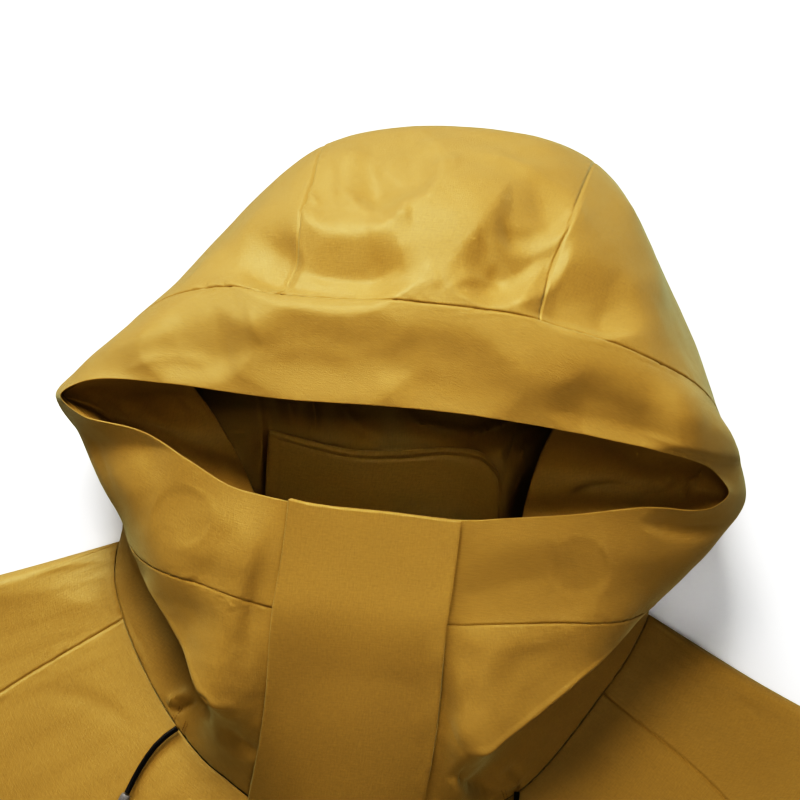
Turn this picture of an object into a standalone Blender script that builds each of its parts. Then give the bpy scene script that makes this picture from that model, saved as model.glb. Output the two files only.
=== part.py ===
"""Hooded jacket lying on its back, with the hood and the tall closed collar filled out.

The frame has +Z up from the floor, +Y from the hem to the hood and +X across the fronts. Every cloth
piece is a closed wall: a grid of points on its outer face, and the same grid moved in by the wall's
thickness. The hood and collar are rings round the face opening, carried down to the neck seam.
"""
import math

import bmesh
import bpy
import numpy as np

# Cloth
WALL = 0.0026  # shell, fill and lining of one layer together
THIN_WALL = 0.0012  # the same where the cloth is folded tightly
THIN_REACH = (0.040, 0.070)  # the wall thickens between these distances from a tight fold
LIP_THIN_REACH = (0.010, 0.022)  # the same at the corners of the mouth
FACING_WALL = 0.0014
FLAP_WALL = 0.0022
SEAM_GAP = 0.00036  # between two pieces that are sewn together
LAYER_GAP = 0.0005  # between a panel and what lies on it
FLAP_GAP = 0.0008

# The plan: a view from straight above on which the shape round the face was set out. Its unit is
# PLAN_UNIT on the floor and shrinks with height, because the eye is EYE_HEIGHT above the floor.
PLAN_UNIT = 0.00046
EYE_HEIGHT = 1.80
PLAN_TURN = math.radians(7.9)
PLAN_CENTRE = 400.0
EYE_X = -0.0035
EYE_Y = 0.0811

# Body and sleeves, half of the garment, in metres; the other half mirrors them
HEM_Y = -0.735
HEM_HALF = 0.292
SIDE_SEAM_BULGE = 0.006
UNDERARM = (0.290, -0.262)
RAGLAN_FRONT = ((0.166, -0.0765), (0.221, -0.130), (0.264, -0.200))
RAGLAN_BACK = ((0.150, -0.053), (0.212, -0.113), (0.258, -0.190))
SHOULDER_LINE = ((0.178, -0.025), (0.236, -0.047), (0.330, -0.086), (0.405, -0.122))
BICEPS_OUTER = (0.452, -0.170)
CUFF_INNER = (0.490, -0.608)
CUFF_OUTER = (0.598, -0.546)
LAID_HEIGHT = 0.0078  # top of the two layers where they lie on each other
EDGE_HEIGHT = 0.0064  # top of the two layers at a side seam
EDGE_REACH = 0.022  # how far in from a side seam the top layer comes down
NEAR_FOLD = 0.42  # the column next to a fold is this share of LAID_HEIGHT from it
FOLD_FADE = 2.0  # rows over which the shoulder's fold comes down from its height at the neck
CHEST_REACH = 0.085  # how far round the neck seam the collar lifts the chest
CHEST_FADE = 1.6  # how sharply that lift ends
SIDE_EDGE_START = 0.05  # the top layer comes down to the side seam over this length from the underarm

# Grid counts
LEVEL_STEPS = (3, 3, 4, 3, 3, 2, 2)
SEAM_ROW = 6  # the grid row of the band's outer seam
RAGLAN_ROWS = 8
SIDE_ROWS = 7
ARM_ROWS = 7
FLAP_ROWS = 13
LINE_STEPS = 8  # steps between the named points of a seam line, before it is spaced evenly
NECK_POINTS = 240  # points along the front of the neck seam that the chest's height is read from
NECK_PANEL_ROWS = 6
FLAP_SPREAD = 1.7  # how much closer the rows are near the neck
FLAP_LIFT = 0.0010  # how much further off the chest the flap lies than off the collar

# One row for each section round the face opening, clockwise on the plan from the left corner.
# Across and down are plan units and height is in millimetres, each for the lip, for the middle of
# the band and for the band's outer seam. Steps is the number of grid steps to the next section.
BAND_SECTIONS = (
    # place, steps, lip across, down, height, middle across, down, height, seam across, down, height
    ("left_corner", 5, 60, 396, 91, 56, 398, 70, 66, 410, 46),
    ("brim_1", 4, 82, 381, 100, 76, 372, 84, 90, 370, 52),
    ("brim_2", 3, 168, 383, 118, 160, 334, 122, 165, 298, 98),
    ("brim_3", 4, 225, 391, 125, 221, 338, 134, 222, 286, 122),
    ("crown_seam_left", 6, 285, 399, 131, 279, 345, 143, 273, 289, 139),
    ("crown_centre", 6, 400, 407, 137, 405, 355, 150, 410, 301, 152),
    ("crown_seam_right", 5, 530, 424, 133, 535, 372, 147, 541, 319, 148),
    ("brim_7", 4, 622, 443, 124, 632, 398, 137, 640, 353, 131),
    ("brim_8", 3, 682, 456, 113, 698, 421, 120, 704, 392, 99),
    ("brim_9", 4, 714, 472, 101, 735, 455, 88, 728, 450, 54),
    ("right_corner", 4, 729, 494, 92, 745, 502, 72, 731, 504, 44),
    ("cheek_11", 3, 708, 510, 97, 722, 532, 77, 706, 544, 46),
    ("cheek_12", 4, 646, 508, 106, 680, 562, 86, 664, 596, 57),
    ("collar_13", 3, 579, 515, 113, 604, 570, 104, 624, 622, 82),
    ("raglan_right", 3, 532, 518, 116, 545, 572, 110, 562, 625, 96),
    ("collar_15", 3, 495, 520, 118, 497, 572, 112, 502, 627, 102),
    ("flap_right", 4, 461, 521, 119, 455, 572, 113, 447, 626, 103),
    ("front_centre", 4, 392, 513, 120, 384, 566, 115, 376, 620, 106),
    ("flap_left", 3, 292, 503, 117, 284, 556, 111, 275, 610, 102),
    ("collar_19", 3, 262, 496, 115, 251, 548, 108, 240, 600, 98),
    ("collar_20", 3, 231, 487, 112, 218, 538, 105, 204, 587, 93),
    ("raglan_left", 3, 187, 460, 107, 170, 516, 99, 156, 570, 82),
    ("cheek_22", 3, 158, 443, 104, 141, 500, 94, 131, 548, 68),
    ("cheek_23", 3, 137, 432, 101, 108, 484, 86, 119, 512, 58),
    ("cheek_24", 4, 82, 416, 95, 72, 418, 78, 84, 440, 50),
)

# The same sections carried down: the crown or the collar's face, its widest line or fold, and the
# floor line or the valley under the fold.
LOWER_SECTIONS = (
    # place, face across, down, height, fold across, down, height, valley across, down, height
    ("left_corner", 84, 426, 26, 106, 444, 9, 140, 462, 0),
    ("brim_1", 108, 370, 30, 126, 374, 10, 148, 384, 0),
    ("brim_2", 168, 290, 70, 176, 292, 36, 200, 308, 0),
    ("brim_3", 221, 254, 100, 226, 228, 60, 246, 240, 0),
    ("crown_seam_left", 297, 219, 122, 322, 147, 62, 326, 172, 0),
    ("crown_centre", 430, 206, 134, 448, 127, 64, 444, 156, 0),
    ("crown_seam_right", 565, 236, 126, 594, 163, 60, 588, 190, 0),
    ("brim_7", 656, 306, 104, 668, 285, 62, 652, 290, 0),
    ("brim_8", 712, 392, 70, 708, 388, 34, 690, 386, 0),
    ("brim_9", 720, 452, 30, 706, 452, 10, 688, 450, 0),
    ("right_corner", 716, 506, 24, 698, 502, 9, 664, 502, 0),
    ("cheek_11", 690, 546, 26, 670, 558, 12, 652, 570, 1.0),
    ("cheek_12", 660, 592, 40, 655, 589, 22, 651, 592, 9),
    ("collar_13", 618, 643, 63, 598, 632, 40, 600, 640, 21),
    ("raglan_right", 584, 676, 68, 558, 656, 46, 562, 668, 27),
    ("collar_15", 509, 735, 77, 495, 720, 59, 498, 737, 45),
    ("flap_right", 441, 690, 92, 433, 748, 74, 424, 797, 57),
    ("front_centre", 368, 676, 97, 360, 735, 80, 352, 795, 62),
    ("flap_left", 268, 672, 91, 263, 720, 73, 258, 762, 54),
    ("collar_19", 206, 697, 74, 226, 694, 54, 219, 710, 41),
    ("collar_20", 179, 642, 69, 206, 640, 46, 198, 652, 28),
    ("raglan_left", 147, 586, 66, 170, 586, 42, 162, 596, 20),
    ("cheek_22", 136, 560, 48, 144, 562, 30, 136, 565, 18),
    ("cheek_23", 121, 508, 40, 122, 511, 22, 123, 519, 9),
    ("cheek_24", 96, 453, 28, 110, 474, 12, 125, 494, 1.0),
)

# The neck seam under the same sections
NECK_SEAM = (
    # place, across, down, height
    ("left_corner", 150, 553, 0),
    ("brim_1", 172, 566, 0),
    ("brim_2", 198, 580, 0),
    ("brim_3", 240, 597, 0),
    ("crown_seam_left", 300, 612, 0),
    ("crown_centre", 377, 624, 0),
    ("crown_seam_right", 455, 634, 0),
    ("brim_7", 512, 637, 0),
    ("brim_8", 553, 637, 0),
    ("brim_9", 585, 634, 0),
    ("right_corner", 610, 629, 0),
    ("cheek_11", 634, 622, 0),
    ("cheek_12", 648, 614, 6.2),
    ("collar_13", 632, 652, 14.5),
    ("raglan_right", 604, 693, 19),
    ("collar_15", 521, 791, 34),
    ("flap_right", 413, 847, 43),
    ("front_centre", 345, 856, 45),
    ("flap_left", 252, 800, 38),
    ("collar_19", 206, 763, 31),
    ("collar_20", 163, 706, 23),
    ("raglan_left", 123, 619, 16.5),
    ("cheek_22", 114, 571, 13.5),
    ("cheek_23", 121, 541, 6.2),
    ("cheek_24", 133, 547, 0),
)

# The stitched panel inside, at the back of the neck: rows across it from left to right
NECK_PANEL = (
    # top across, down, height, foot across, down, height
    (270, 431, 21, 262, 560, 6),
    (306, 441, 20, 305, 571, 6),
    (350, 451, 19, 350, 578, 6),
    (400, 452, 18, 400, 584, 6),
    (450, 449, 19, 450, 590, 6),
    (481, 454, 19, 478, 592, 6),
    (497, 470, 16, 492, 593, 6),
    (501, 490, 12, 498, 593, 6),
)

# The facings inside the corners of the mouth
FACING_SLICES = 9
FACING_STEPS = 8
FACING_ROW = 1  # the row of the hood's inner face that the facings hang from
FACING_OFF = 0.0012  # how far in from that face their edges start
FACING_START = 0.3  # the first slice, as a share of the way from the corner to the free edge
FACINGS = {
    # corner, where its free edge meets the upper and the lower lip, depth and bulge of that edge
    "facing_left": ("left_corner", ("brim_2", 0), ("collar_19", 0), 0.046, 0.010),
    "facing_right": ("right_corner", ("crown_seam_right", 1), ("raglan_right", 1), 0.050, 0.008),
}

# Drawcords: rows along each cord from the neck seam, across and down on the plan
CORD_DIAMETER = 0.0025
CORD_END_DIAMETER = 0.0048
CORD_END_LENGTH = 0.017
CORD_END_ROUND = 0.0007
CORD_STEP = 0.006
CORD_LIFT = 0.0022  # between the chest and the cord's underside, straight up
CORDS = {
    "left": ((172, 735), (158, 743), (145, 760), (135, 777), (127, 793)),
    "right": ((520, 801), (518, 818), (520, 836), (526, 853), (536, 869)),
}

SHELL_COLOUR = (0.36, 0.20, 0.026, 1.0)
LINING_COLOUR = (0.16, 0.085, 0.012, 1.0)
CORD_COLOUR = (0.010, 0.009, 0.008, 1.0)
CORD_END_COLOUR = (0.13, 0.12, 0.11, 1.0)


def material(name, colour, roughness, metallic=0.0):
    """A plain Principled material."""
    made = bpy.data.materials.new(name)
    made.use_nodes = True
    shader = made.node_tree.nodes["Principled BSDF"]
    shader.inputs["Base Color"].default_value = colour
    shader.inputs["Roughness"].default_value = roughness
    shader.inputs["Metallic"].default_value = metallic
    made.diffuse_color = colour
    return made


# ---- From the plan to metres ----


def from_plan(across, down, height_mm):
    """Points in metres for plan coordinates and a height: the plan's unit at that height times the
    distance from the point under the eye, turned from the plan's axes to the garment's."""
    height = np.asarray(height_mm, float) / 1000.0
    unit = PLAN_UNIT * (EYE_HEIGHT - height) / EYE_HEIGHT
    right = (np.asarray(across, float) - PLAN_CENTRE) * unit
    back = (np.asarray(down, float) - PLAN_CENTRE) * unit
    x = EYE_X + right * math.cos(PLAN_TURN) + back * math.sin(PLAN_TURN)
    y = EYE_Y + right * math.sin(PLAN_TURN) - back * math.cos(PLAN_TURN)
    return np.stack(np.broadcast_arrays(x, y, height), axis=-1)


# ---- Smooth lines and grids ----


def smooth(points, steps, closed=False):
    """Points on smooth lines through points, an array (knots, lines, 3), with the given number of
    steps in each span. Tangents are weighted by the neighbouring chords, so uneven knots don't
    overshoot."""
    knots = len(points)
    spans = knots if closed else knots - 1
    after = np.roll(points, -1, axis=0)
    chord = np.maximum(np.linalg.norm(after - points, axis=2, keepdims=True), 1e-6) ** 0.75
    slope = (after - points) / chord
    before_slope = np.roll(slope, 1, axis=0)
    before_chord = np.roll(chord, 1, axis=0)
    tangent = (slope * before_chord + before_slope * chord) / (chord + before_chord)
    if not closed:
        tangent[0] = slope[0]
        tangent[-1] = before_slope[-1]
    rows = []
    for k in range(spans):
        t = (np.arange(steps[k]) / steps[k])[:, None, None]
        n = (k + 1) % knots
        rows.append(
            points[k] * (2 * t**3 - 3 * t**2 + 1)
            + tangent[k] * chord[k] * (t**3 - 2 * t**2 + t)
            + points[n] * (3 * t**2 - 2 * t**3)
            + tangent[n] * chord[k] * (t**3 - t**2)
        )
    if not closed:
        rows.append(points[-1:])
    return np.concatenate(rows)


def smooth_line(points, steps):
    """The same for one open line of knots, with the same number of steps in each span."""
    knots = np.array(points, float)
    if knots.shape[1] == 2:
        knots = np.column_stack([knots, np.zeros(len(knots))])
    return smooth(knots[:, None, :], [steps] * (len(knots) - 1))[:, 0, :]


def spaced(line, count):
    """The line again as count + 1 points at equal distances."""
    along = np.concatenate([[0.0], np.cumsum(np.linalg.norm(np.diff(line, axis=0), axis=1))])
    at = np.linspace(0.0, along[-1], count + 1)
    return np.stack([np.interp(at, along, line[:, k]) for k in range(line.shape[1])], axis=1)


def unit(vectors):
    return vectors / np.maximum(np.linalg.norm(vectors, axis=-1, keepdims=True), 1e-12)


def normals(grid, wraps=False):
    """Unit normals of a grid (rows, columns, 3), across the columns' direction times the rows'."""
    down = np.gradient(grid, axis=0)
    if wraps:
        padded = np.concatenate([grid[:, -1:], grid, grid[:, :1]], axis=1)
        along = (padded[:, 2:] - padded[:, :-2]) / 2
    else:
        along = np.gradient(grid, axis=1)
    return unit(np.cross(along, down))


def inset(grid, depth, sides):
    """The grid with its edges moved inward along the surface by half of SEAM_GAP, on the sides named
    in a string of t, b, l and r. depth is the other face's grid, moved by the same amounts."""
    grid = grid.copy()
    depth = depth.copy()
    for side in sides:
        edge, near = {
            "t": (np.s_[0], np.s_[1]),
            "b": (np.s_[-1], np.s_[-2]),
            "l": (np.s_[:, 0], np.s_[:, 1]),
            "r": (np.s_[:, -1], np.s_[:, -2]),
        }[side]
        along = np.gradient(grid[edge], axis=0)
        inward = grid[near] - grid[edge]
        inward = inward - along * (inward * along).sum(-1, keepdims=True) / np.maximum(
            (along * along).sum(-1, keepdims=True), 1e-12
        )
        move = unit(inward) * SEAM_GAP / 2
        grid[edge] += move
        depth[edge] += move
    return grid, depth


def wall(name, outer, inner, look):
    """A closed body between two grids of the same size: both faces and the four edges. outer is the
    face whose normals, by the grid's order, point away from inner."""
    rows, columns = outer.shape[:2]
    points = np.concatenate([outer.reshape(-1, 3), inner.reshape(-1, 3)])
    count = rows * columns
    index = np.arange(count).reshape(rows, columns)
    a, b = index[:-1, :-1].ravel(), index[:-1, 1:].ravel()
    c, d = index[1:, 1:].ravel(), index[1:, :-1].ravel()
    faces = [np.stack([a, b, c, d], 1)[:, ::-1], np.stack([a, b, c, d], 1) + count]
    border = np.concatenate([index[0, :-1], index[:-1, -1], index[-1, :0:-1], index[:0:-1, 0]])
    after = np.roll(border, -1)
    faces.append(np.stack([border, after, after + count, border + count], 1))
    mesh = bpy.data.meshes.new(name)
    mesh.from_pydata(points.tolist(), [], np.concatenate(faces).tolist())
    mesh.materials.append(look)
    piece = bpy.data.objects.new(name, mesh)
    bpy.context.scene.collection.objects.link(piece)
    shape = bmesh.new()
    shape.from_mesh(mesh)
    bmesh.ops.recalc_face_normals(shape, faces=shape.faces)
    shape.to_mesh(mesh)
    shape.free()
    mesh.shade_smooth()
    mesh.set_sharp_from_angle(angle=math.radians(50))
    return piece


# ---- The hood and the collar ----


def columns_of():
    """The grid column of each section, and the number of columns round the face opening."""
    at, total = {}, 0
    for row in BAND_SECTIONS:
        at[row[0]] = total
        total += row[1]
    return at, total


def rings():
    """The outer face of the hood and collar as a grid: rows from the lip to the neck seam, columns
    round the face opening."""
    band = np.array([row[2:] for row in BAND_SECTIONS], float).reshape(-1, 3, 3)
    lower = np.array([row[1:] for row in LOWER_SECTIONS], float).reshape(-1, 3, 3)
    neck = np.array([row[1:] for row in NECK_SEAM], float).reshape(-1, 1, 3)
    knots = np.concatenate([band, lower, neck], axis=1)
    knots = from_plan(knots[..., 0], knots[..., 1], knots[..., 2])
    between = (knots[:, -2:-1] + knots[:, -1:]) / 2
    knots = np.concatenate([knots[:, :-1], between, knots[:, -1:]], axis=1)
    steps = [row[1] for row in BAND_SECTIONS]
    loops = smooth(knots, steps, closed=True)
    grid = smooth(loops.transpose(1, 0, 2), LEVEL_STEPS)
    grid[..., 2] = np.maximum(grid[..., 2], 0.0)
    return grid


def eased(value, low, high):
    """0 below low, 1 above high and a smooth step between."""
    t = np.clip((value - low) / (high - low), 0.0, 1.0)
    return t * t * (3 - 2 * t)


def wall_depth(points, shoulders, lips=()):
    """The wall's thickness at points (..., 3): thin near the shoulder points and the mouth's corners,
    where the cloth is folded on a radius of a few millimetres."""
    share = np.ones(points.shape[:-1])
    for places, reach in ((shoulders, THIN_REACH), (lips, LIP_THIN_REACH)):
        for place in places:
            share = np.minimum(share, eased(np.linalg.norm(points - place, axis=-1), *reach))
    return (THIN_WALL + (WALL - THIN_WALL) * share)[..., None]


def taken(grid, first, last):
    """Columns first to last of a grid that closes on itself, also across its end."""
    total = grid.shape[1]
    span = (last - first) % total or total
    return grid[:, (first + np.arange(span + 1)) % total]


def hood_and_collar(grid, inner, looks):
    at, _ = columns_of()
    centre = at["front_centre"]
    upper = slice(0, SEAM_ROW + 1)
    lower = slice(SEAM_ROW, None)
    cuts = (
        ("hood_band", upper, centre, centre, "blr"),
        ("hood_centre", lower, at["crown_seam_left"], at["crown_seam_right"], "tblr"),
        ("hood_side_right", lower, at["crown_seam_right"], at["cheek_12"], "tblr"),
        ("collar_right", lower, at["cheek_12"], centre, "tblr"),
        ("collar_left", lower, centre, at["cheek_23"], "tblr"),
        ("hood_side_left", lower, at["cheek_23"], at["crown_seam_left"], "tblr"),
    )
    for name, rows, first, last, sides in cuts:
        face, back = inset(taken(grid, first, last)[rows], taken(inner, first, last)[rows], sides)
        wall(name, face, back, looks["shell"])


# ---- The body ----


def chest_height(points, neck):
    """The height of the top layer at points (..., 3): the laid height, and near the front of the neck
    seam as much more as the nearest point of the seam stands above it, fading with distance."""
    flat = points.reshape(-1, 3)
    apart = np.linalg.norm(flat[:, None, :2] - neck[None, :, :2], axis=2)
    near = apart.argmin(axis=1)
    lift = np.maximum(neck[near, 2] - LAID_HEIGHT, 0.0)
    fade = np.exp(-((apart.min(axis=1) / CHEST_REACH) ** CHEST_FADE))
    return (LAID_HEIGHT + lift * fade).reshape(points.shape[:-1])


def on_side(side, *points):
    """Points of the right half in plan, taken to the side: 1 for the right and -1 for the left."""
    return [(side * x, y, 0.0) for x, y in points]


def raglan(start, middle, side):
    """The raglan seam from the neck to the underarm."""
    knots = [(start[0], start[1], 0.0), *on_side(side, *middle, UNDERARM)]
    return spaced(smooth_line(knots, LINE_STEPS), RAGLAN_ROWS)


def side_seam(side):
    waist = (HEM_HALF - SIDE_SEAM_BULGE, (UNDERARM[1] + HEM_Y) / 2)
    knots = on_side(side, UNDERARM, waist, (HEM_HALF, HEM_Y))
    return spaced(smooth_line(knots, LINE_STEPS), SIDE_ROWS)


def patch(top, bottom, left, right):
    """A grid between four lines, each side's points kept: the blend of the two pairs of sides less
    the blend of the corners."""
    u = np.linspace(0, 1, len(top))[None, :, None]
    v = np.linspace(0, 1, len(left))[:, None, None]
    pairs = (1 - v) * top[None] + v * bottom[None] + (1 - u) * left[:, None] + u * right[:, None]
    upper = (1 - u) * top[0] + u * top[-1]
    lower = (1 - u) * bottom[0] + u * bottom[-1]
    return pairs - (1 - v) * upper - v * lower


def flattened(line):
    return line * (1.0, 1.0, 0.0)


def straight(start, end, count):
    return np.linspace(0, 1, count)[:, None] * (np.array(end) - start) + start


def front_face(side, edge, neck):
    """A front panel's face. edge is its part of the neck seam, from the centre front outward."""
    seam = np.concatenate([raglan(edge[-1], RAGLAN_FRONT, side), side_seam(side)[1:]])
    hem_centre = np.array([edge[0, 0], HEM_Y, 0.0])
    spread = np.linspace(0, 1, len(seam))[:, None] ** FLAP_SPREAD
    centre = flattened(edge[0]) + (hem_centre - flattened(edge[0])) * spread
    face = patch(flattened(edge), straight(hem_centre, seam[-1], len(edge)), centre, seam)
    face[..., 2] = chest_height(face, neck)
    from_seam = np.linalg.norm(face[..., :2] - face[:, -1:, :2], axis=2)
    below = np.clip((UNDERARM[1] - face[..., 1]) / SIDE_EDGE_START, 0.0, 1.0)
    face[..., 2] -= (LAID_HEIGHT - EDGE_HEIGHT) * below * np.exp(-((from_seam / EDGE_REACH) ** 2))
    face[0] = edge
    return face


def back_face(edge):
    """The back panel's face, which lies on the floor. edge is its part of the neck seam."""
    left, right = (
        np.concatenate([raglan(end, RAGLAN_BACK, side), side_seam(side)[1:]])
        for end, side in ((edge[0], -1), (edge[-1], 1))
    )
    return patch(flattened(edge), straight(left[-1], right[-1], len(edge)), left, right)


def round_share(apart, radius):
    """How far up the round of a fold a layer is at a distance from it: 0 at the fold, 1 past it."""
    return np.sqrt(1 - (1 - np.clip(apart / radius, 0.0, 1.0)) ** 2)


def sleeve_face(side, edge, fold_at, neck):
    """A raglan sleeve laid flat: each row runs from the front seam over the outer fold to the back
    seam. edge is its part of the neck seam in that order, with the shoulder at fold_at."""
    arm = straight(*on_side(side, UNDERARM, CUFF_INNER), ARM_ROWS + 1)[1:]
    starts = np.concatenate([raglan(edge[0], RAGLAN_FRONT, side), arm])
    ends = np.concatenate([raglan(edge[-1], RAGLAN_BACK, side), arm])
    shoulder = [flattened(edge[fold_at]), *on_side(side, *SHOULDER_LINE, BICEPS_OUTER)]
    folds = np.concatenate(
        [
            spaced(smooth_line(shoulder, LINE_STEPS), RAGLAN_ROWS),
            straight(*on_side(side, BICEPS_OUTER, CUFF_OUTER), ARM_ROWS + 1)[1:],
        ]
    )
    rows = [edge]
    for k in range(1, len(folds)):
        first, fold, last = starts[k], folds[k], ends[k]
        laid = LAID_HEIGHT / 2
        radius = laid + (edge[fold_at, 2] - laid) * math.exp(-((k / FOLD_FADE) ** 2))
        near_fold = NEAR_FOLD * 2 * radius
        share = np.append(np.linspace(0, 1 - near_fold / np.linalg.norm(fold - first), fold_at), 1)
        upper = first + (fold - first) * share[:, None]
        share = np.linspace(near_fold / np.linalg.norm(fold - last), 1, len(edge) - 1 - fold_at)
        lower = fold + (last - fold) * share[:, None]
        apart = np.linalg.norm(upper - fold, axis=1)
        top = chest_height(upper, neck) + 2 * (radius - laid) * np.exp(-((apart / EDGE_REACH) ** 2))
        drop = (LAID_HEIGHT - EDGE_HEIGHT) * np.clip((k - RAGLAN_ROWS + 1) / 2, 0, 1)
        from_seam = np.linalg.norm(upper - first, axis=1)
        upper[:, 2] = radius + (top - radius) * round_share(apart, radius)
        upper[:, 2] -= drop * np.exp(-((from_seam / EDGE_REACH) ** 2))
        lower[:, 2] = radius * (1 - round_share(np.linalg.norm(lower - fold, axis=1), radius))
        rows.append(np.concatenate([upper, lower]))
    return np.stack(rows)


def sleeve_inside(face, fold_at, shoulders):
    """A sleeve's inner face: the upper layer's moved down, the lower layer's up, the fold's inward."""
    back = face.copy()
    depth = wall_depth(face, shoulders)
    back[:, :fold_at, 2] -= depth[:, :fold_at, 0]
    back[:, fold_at + 1 :, 2] += depth[:, fold_at + 1 :, 0]
    back[:, fold_at] += unit(flattened(face[:, 0] - face[:, fold_at])) * depth[:, fold_at]
    return back


def body_and_sleeves(grid, neck, shoulders, looks):
    at, _ = columns_of()
    seam = grid[-1:]

    def part_of(first, last):
        return taken(seam, at[first], at[last])[0]

    shell = looks["shell"]
    front_right = part_of("raglan_right", "front_centre")[::-1]
    sleeve_right = part_of("brim_9", "raglan_right")[::-1]
    front_left = part_of("front_centre", "raglan_left")
    sleeve_left = part_of("raglan_left", "brim_1")
    halves = (
        (1, "right", front_right, sleeve_right, at["raglan_right"] - at["cheek_12"]),
        (-1, "left", front_left, sleeve_left, at["cheek_23"] - at["raglan_left"]),
    )
    for side, word, front_edge, sleeve_edge, fold_at in halves:
        face = front_face(side, front_edge, neck)
        wall("front_" + word, *inset(face, face - (0, 0, WALL), "tlr"), shell)
        face = sleeve_face(side, sleeve_edge, fold_at, neck)
        wall("sleeve_" + word, *inset(face, sleeve_inside(face, fold_at, shoulders), "tlr"), shell)
    face = back_face(part_of("brim_1", "brim_9"))
    wall("back", *inset(face, face + (0, 0, WALL), "tlr"), shell)


def flap_base(grid, neck):
    """What the storm flap lies on: the collar between its two sections, and the chest below it."""
    at, _ = columns_of()
    upper = taken(grid, at["flap_right"], at["flap_left"])
    rows = []
    for share in np.linspace(0, 1, FLAP_ROWS + 1)[1:]:
        row = flattened(upper[-1])
        row[:, 1] += (HEM_Y - row[:, 1]) * share**FLAP_SPREAD
        row[:, 2] = chest_height(row, neck) + FLAP_LIFT
        rows.append(row)
    return np.concatenate([upper, np.stack(rows)])


def storm_flap(grid, neck, looks):
    base = flap_base(grid, neck)
    out = normals(base)
    wall("storm_flap", base + out * (FLAP_GAP + FLAP_WALL), base + out * FLAP_GAP, looks["shell"])


# ---- Inside the mouth ----


def facing_face(inner, out, corner, upper_end, lower_end, depth, bulge):
    """A facing's face: slices from the corner of the mouth to the free edge, each hung from under
    the upper lip to under the lower lip, deeper and more bulged towards the free edge."""
    at, total = columns_of()
    line = inner[FACING_ROW] - out[FACING_ROW] * FACING_OFF
    turn = 1 if corner == "left_corner" else -1
    uppers = turn * ((at[upper_end[0]] + upper_end[1] - at[corner]))
    lowers = turn * (at[corner] - at[lower_end[0]] - lower_end[1])
    uppers, lowers = uppers % total, lowers % total
    columns = np.arange(total + 1)
    closed = np.concatenate([line, line[:1]])
    rows = []
    for share in np.linspace(FACING_START, 1, FACING_SLICES):
        ends = []
        for steps in (turn * uppers * share, -turn * lowers * share):
            place = (at[corner] + steps) % total
            ends.append([np.interp(place, columns, closed[:, k]) for k in range(3)])
        start, end = np.array(ends)
        across = np.linspace(0, 1, FACING_STEPS + 1)[:, None]
        sag = np.sin(math.pi * across) ** 0.8
        row = start + (end - start) * across
        row[:, 2:] -= LAYER_GAP + sag * depth * share
        row[:, :1] += turn * sag * bulge * share
        rows.append(row)
    face = np.stack(rows)
    return face if turn > 0 else face[:, ::-1]


def inside(inner, out, looks):
    for name, row in FACINGS.items():
        face = facing_face(inner, out, *row)
        wall(name, face, face - normals(face) * FACING_WALL, looks["lining"])
    ends = np.array(NECK_PANEL, float)[::-1]
    top = from_plan(*ends[:, 0:3].T)
    foot = from_plan(*ends[:, 3:6].T)
    share = np.linspace(0, 1, NECK_PANEL_ROWS)[:, None, None]
    face = top * (1 - share) + foot * share
    wall("neck_panel", face, face - normals(face) * FACING_WALL, looks["lining"])


# ---- Drawcords ----


def laid_route(rows, neck, radius):
    """Points in metres for plan coordinates, resting on the chest."""
    across, down = np.array(rows, float).T
    height = np.full(len(rows), LAID_HEIGHT)
    for _ in range(4):
        points = from_plan(across, down, height * 1000)
        height = chest_height(points, neck) + radius + CORD_LIFT
    return from_plan(across, down, height * 1000)


def drawcords(neck, looks):
    for name, rows in CORDS.items():
        radius = CORD_DIAMETER / 2
        knots = laid_route(rows, neck, radius)
        knots[-1, 2] += (CORD_END_DIAMETER - CORD_DIAMETER) / 2 + LAYER_GAP
        line = smooth_line(knots, LINE_STEPS)
        length = np.linalg.norm(np.diff(line, axis=0), axis=1).sum()
        line = spaced(line, round(length / CORD_STEP))
        curve = bpy.data.curves.new("cord_" + name, "CURVE")
        curve.dimensions = "3D"
        curve.bevel_depth = radius
        curve.bevel_resolution = 2
        curve.use_fill_caps = True
        spline = curve.splines.new("POLY")
        spline.points.add(len(line) - 1)
        spline.points.foreach_set("co", np.column_stack([line, np.ones(len(line))]).ravel())
        curve.materials.append(looks["cord"])
        cord = bpy.data.objects.new("cord_" + name, curve)
        bpy.context.scene.collection.objects.link(cord)
        cord_end(name, line[-1], unit(line[-1] - line[-2]), neck, looks)


def cord_end(name, start, direction, neck, looks):
    """A plain round sleeve on the cord's end, lying along the slope of the chest."""
    tip = start + unit(direction * (1.0, 1.0, 0.0)) * CORD_END_LENGTH
    tip[2] = chest_height(tip[None], neck)[0] + CORD_END_DIAMETER / 2 + CORD_LIFT
    direction = unit(tip - start)
    mesh = bpy.data.meshes.new("cord_end_" + name)
    shape = bmesh.new()
    bmesh.ops.create_cone(
        shape,
        cap_ends=True,
        segments=16,
        radius1=CORD_END_DIAMETER / 2,
        radius2=CORD_END_DIAMETER / 2,
        depth=CORD_END_LENGTH,
    )
    rims = [edge for edge in shape.edges if abs(edge.verts[0].co.z - edge.verts[1].co.z) < 1e-6]
    bmesh.ops.bevel(shape, geom=rims, offset=CORD_END_ROUND, segments=2, affect="EDGES")
    shape.to_mesh(mesh)
    shape.free()
    mesh.materials.append(looks["cord_end"])
    piece = bpy.data.objects.new("cord_end_" + name, mesh)
    piece.location = start + direction * (LAYER_GAP + CORD_END_LENGTH / 2)
    tilt = math.acos(direction[2])
    piece.rotation_euler = (0.0, tilt, math.atan2(direction[1], direction[0]))
    bpy.context.scene.collection.objects.link(piece)


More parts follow.
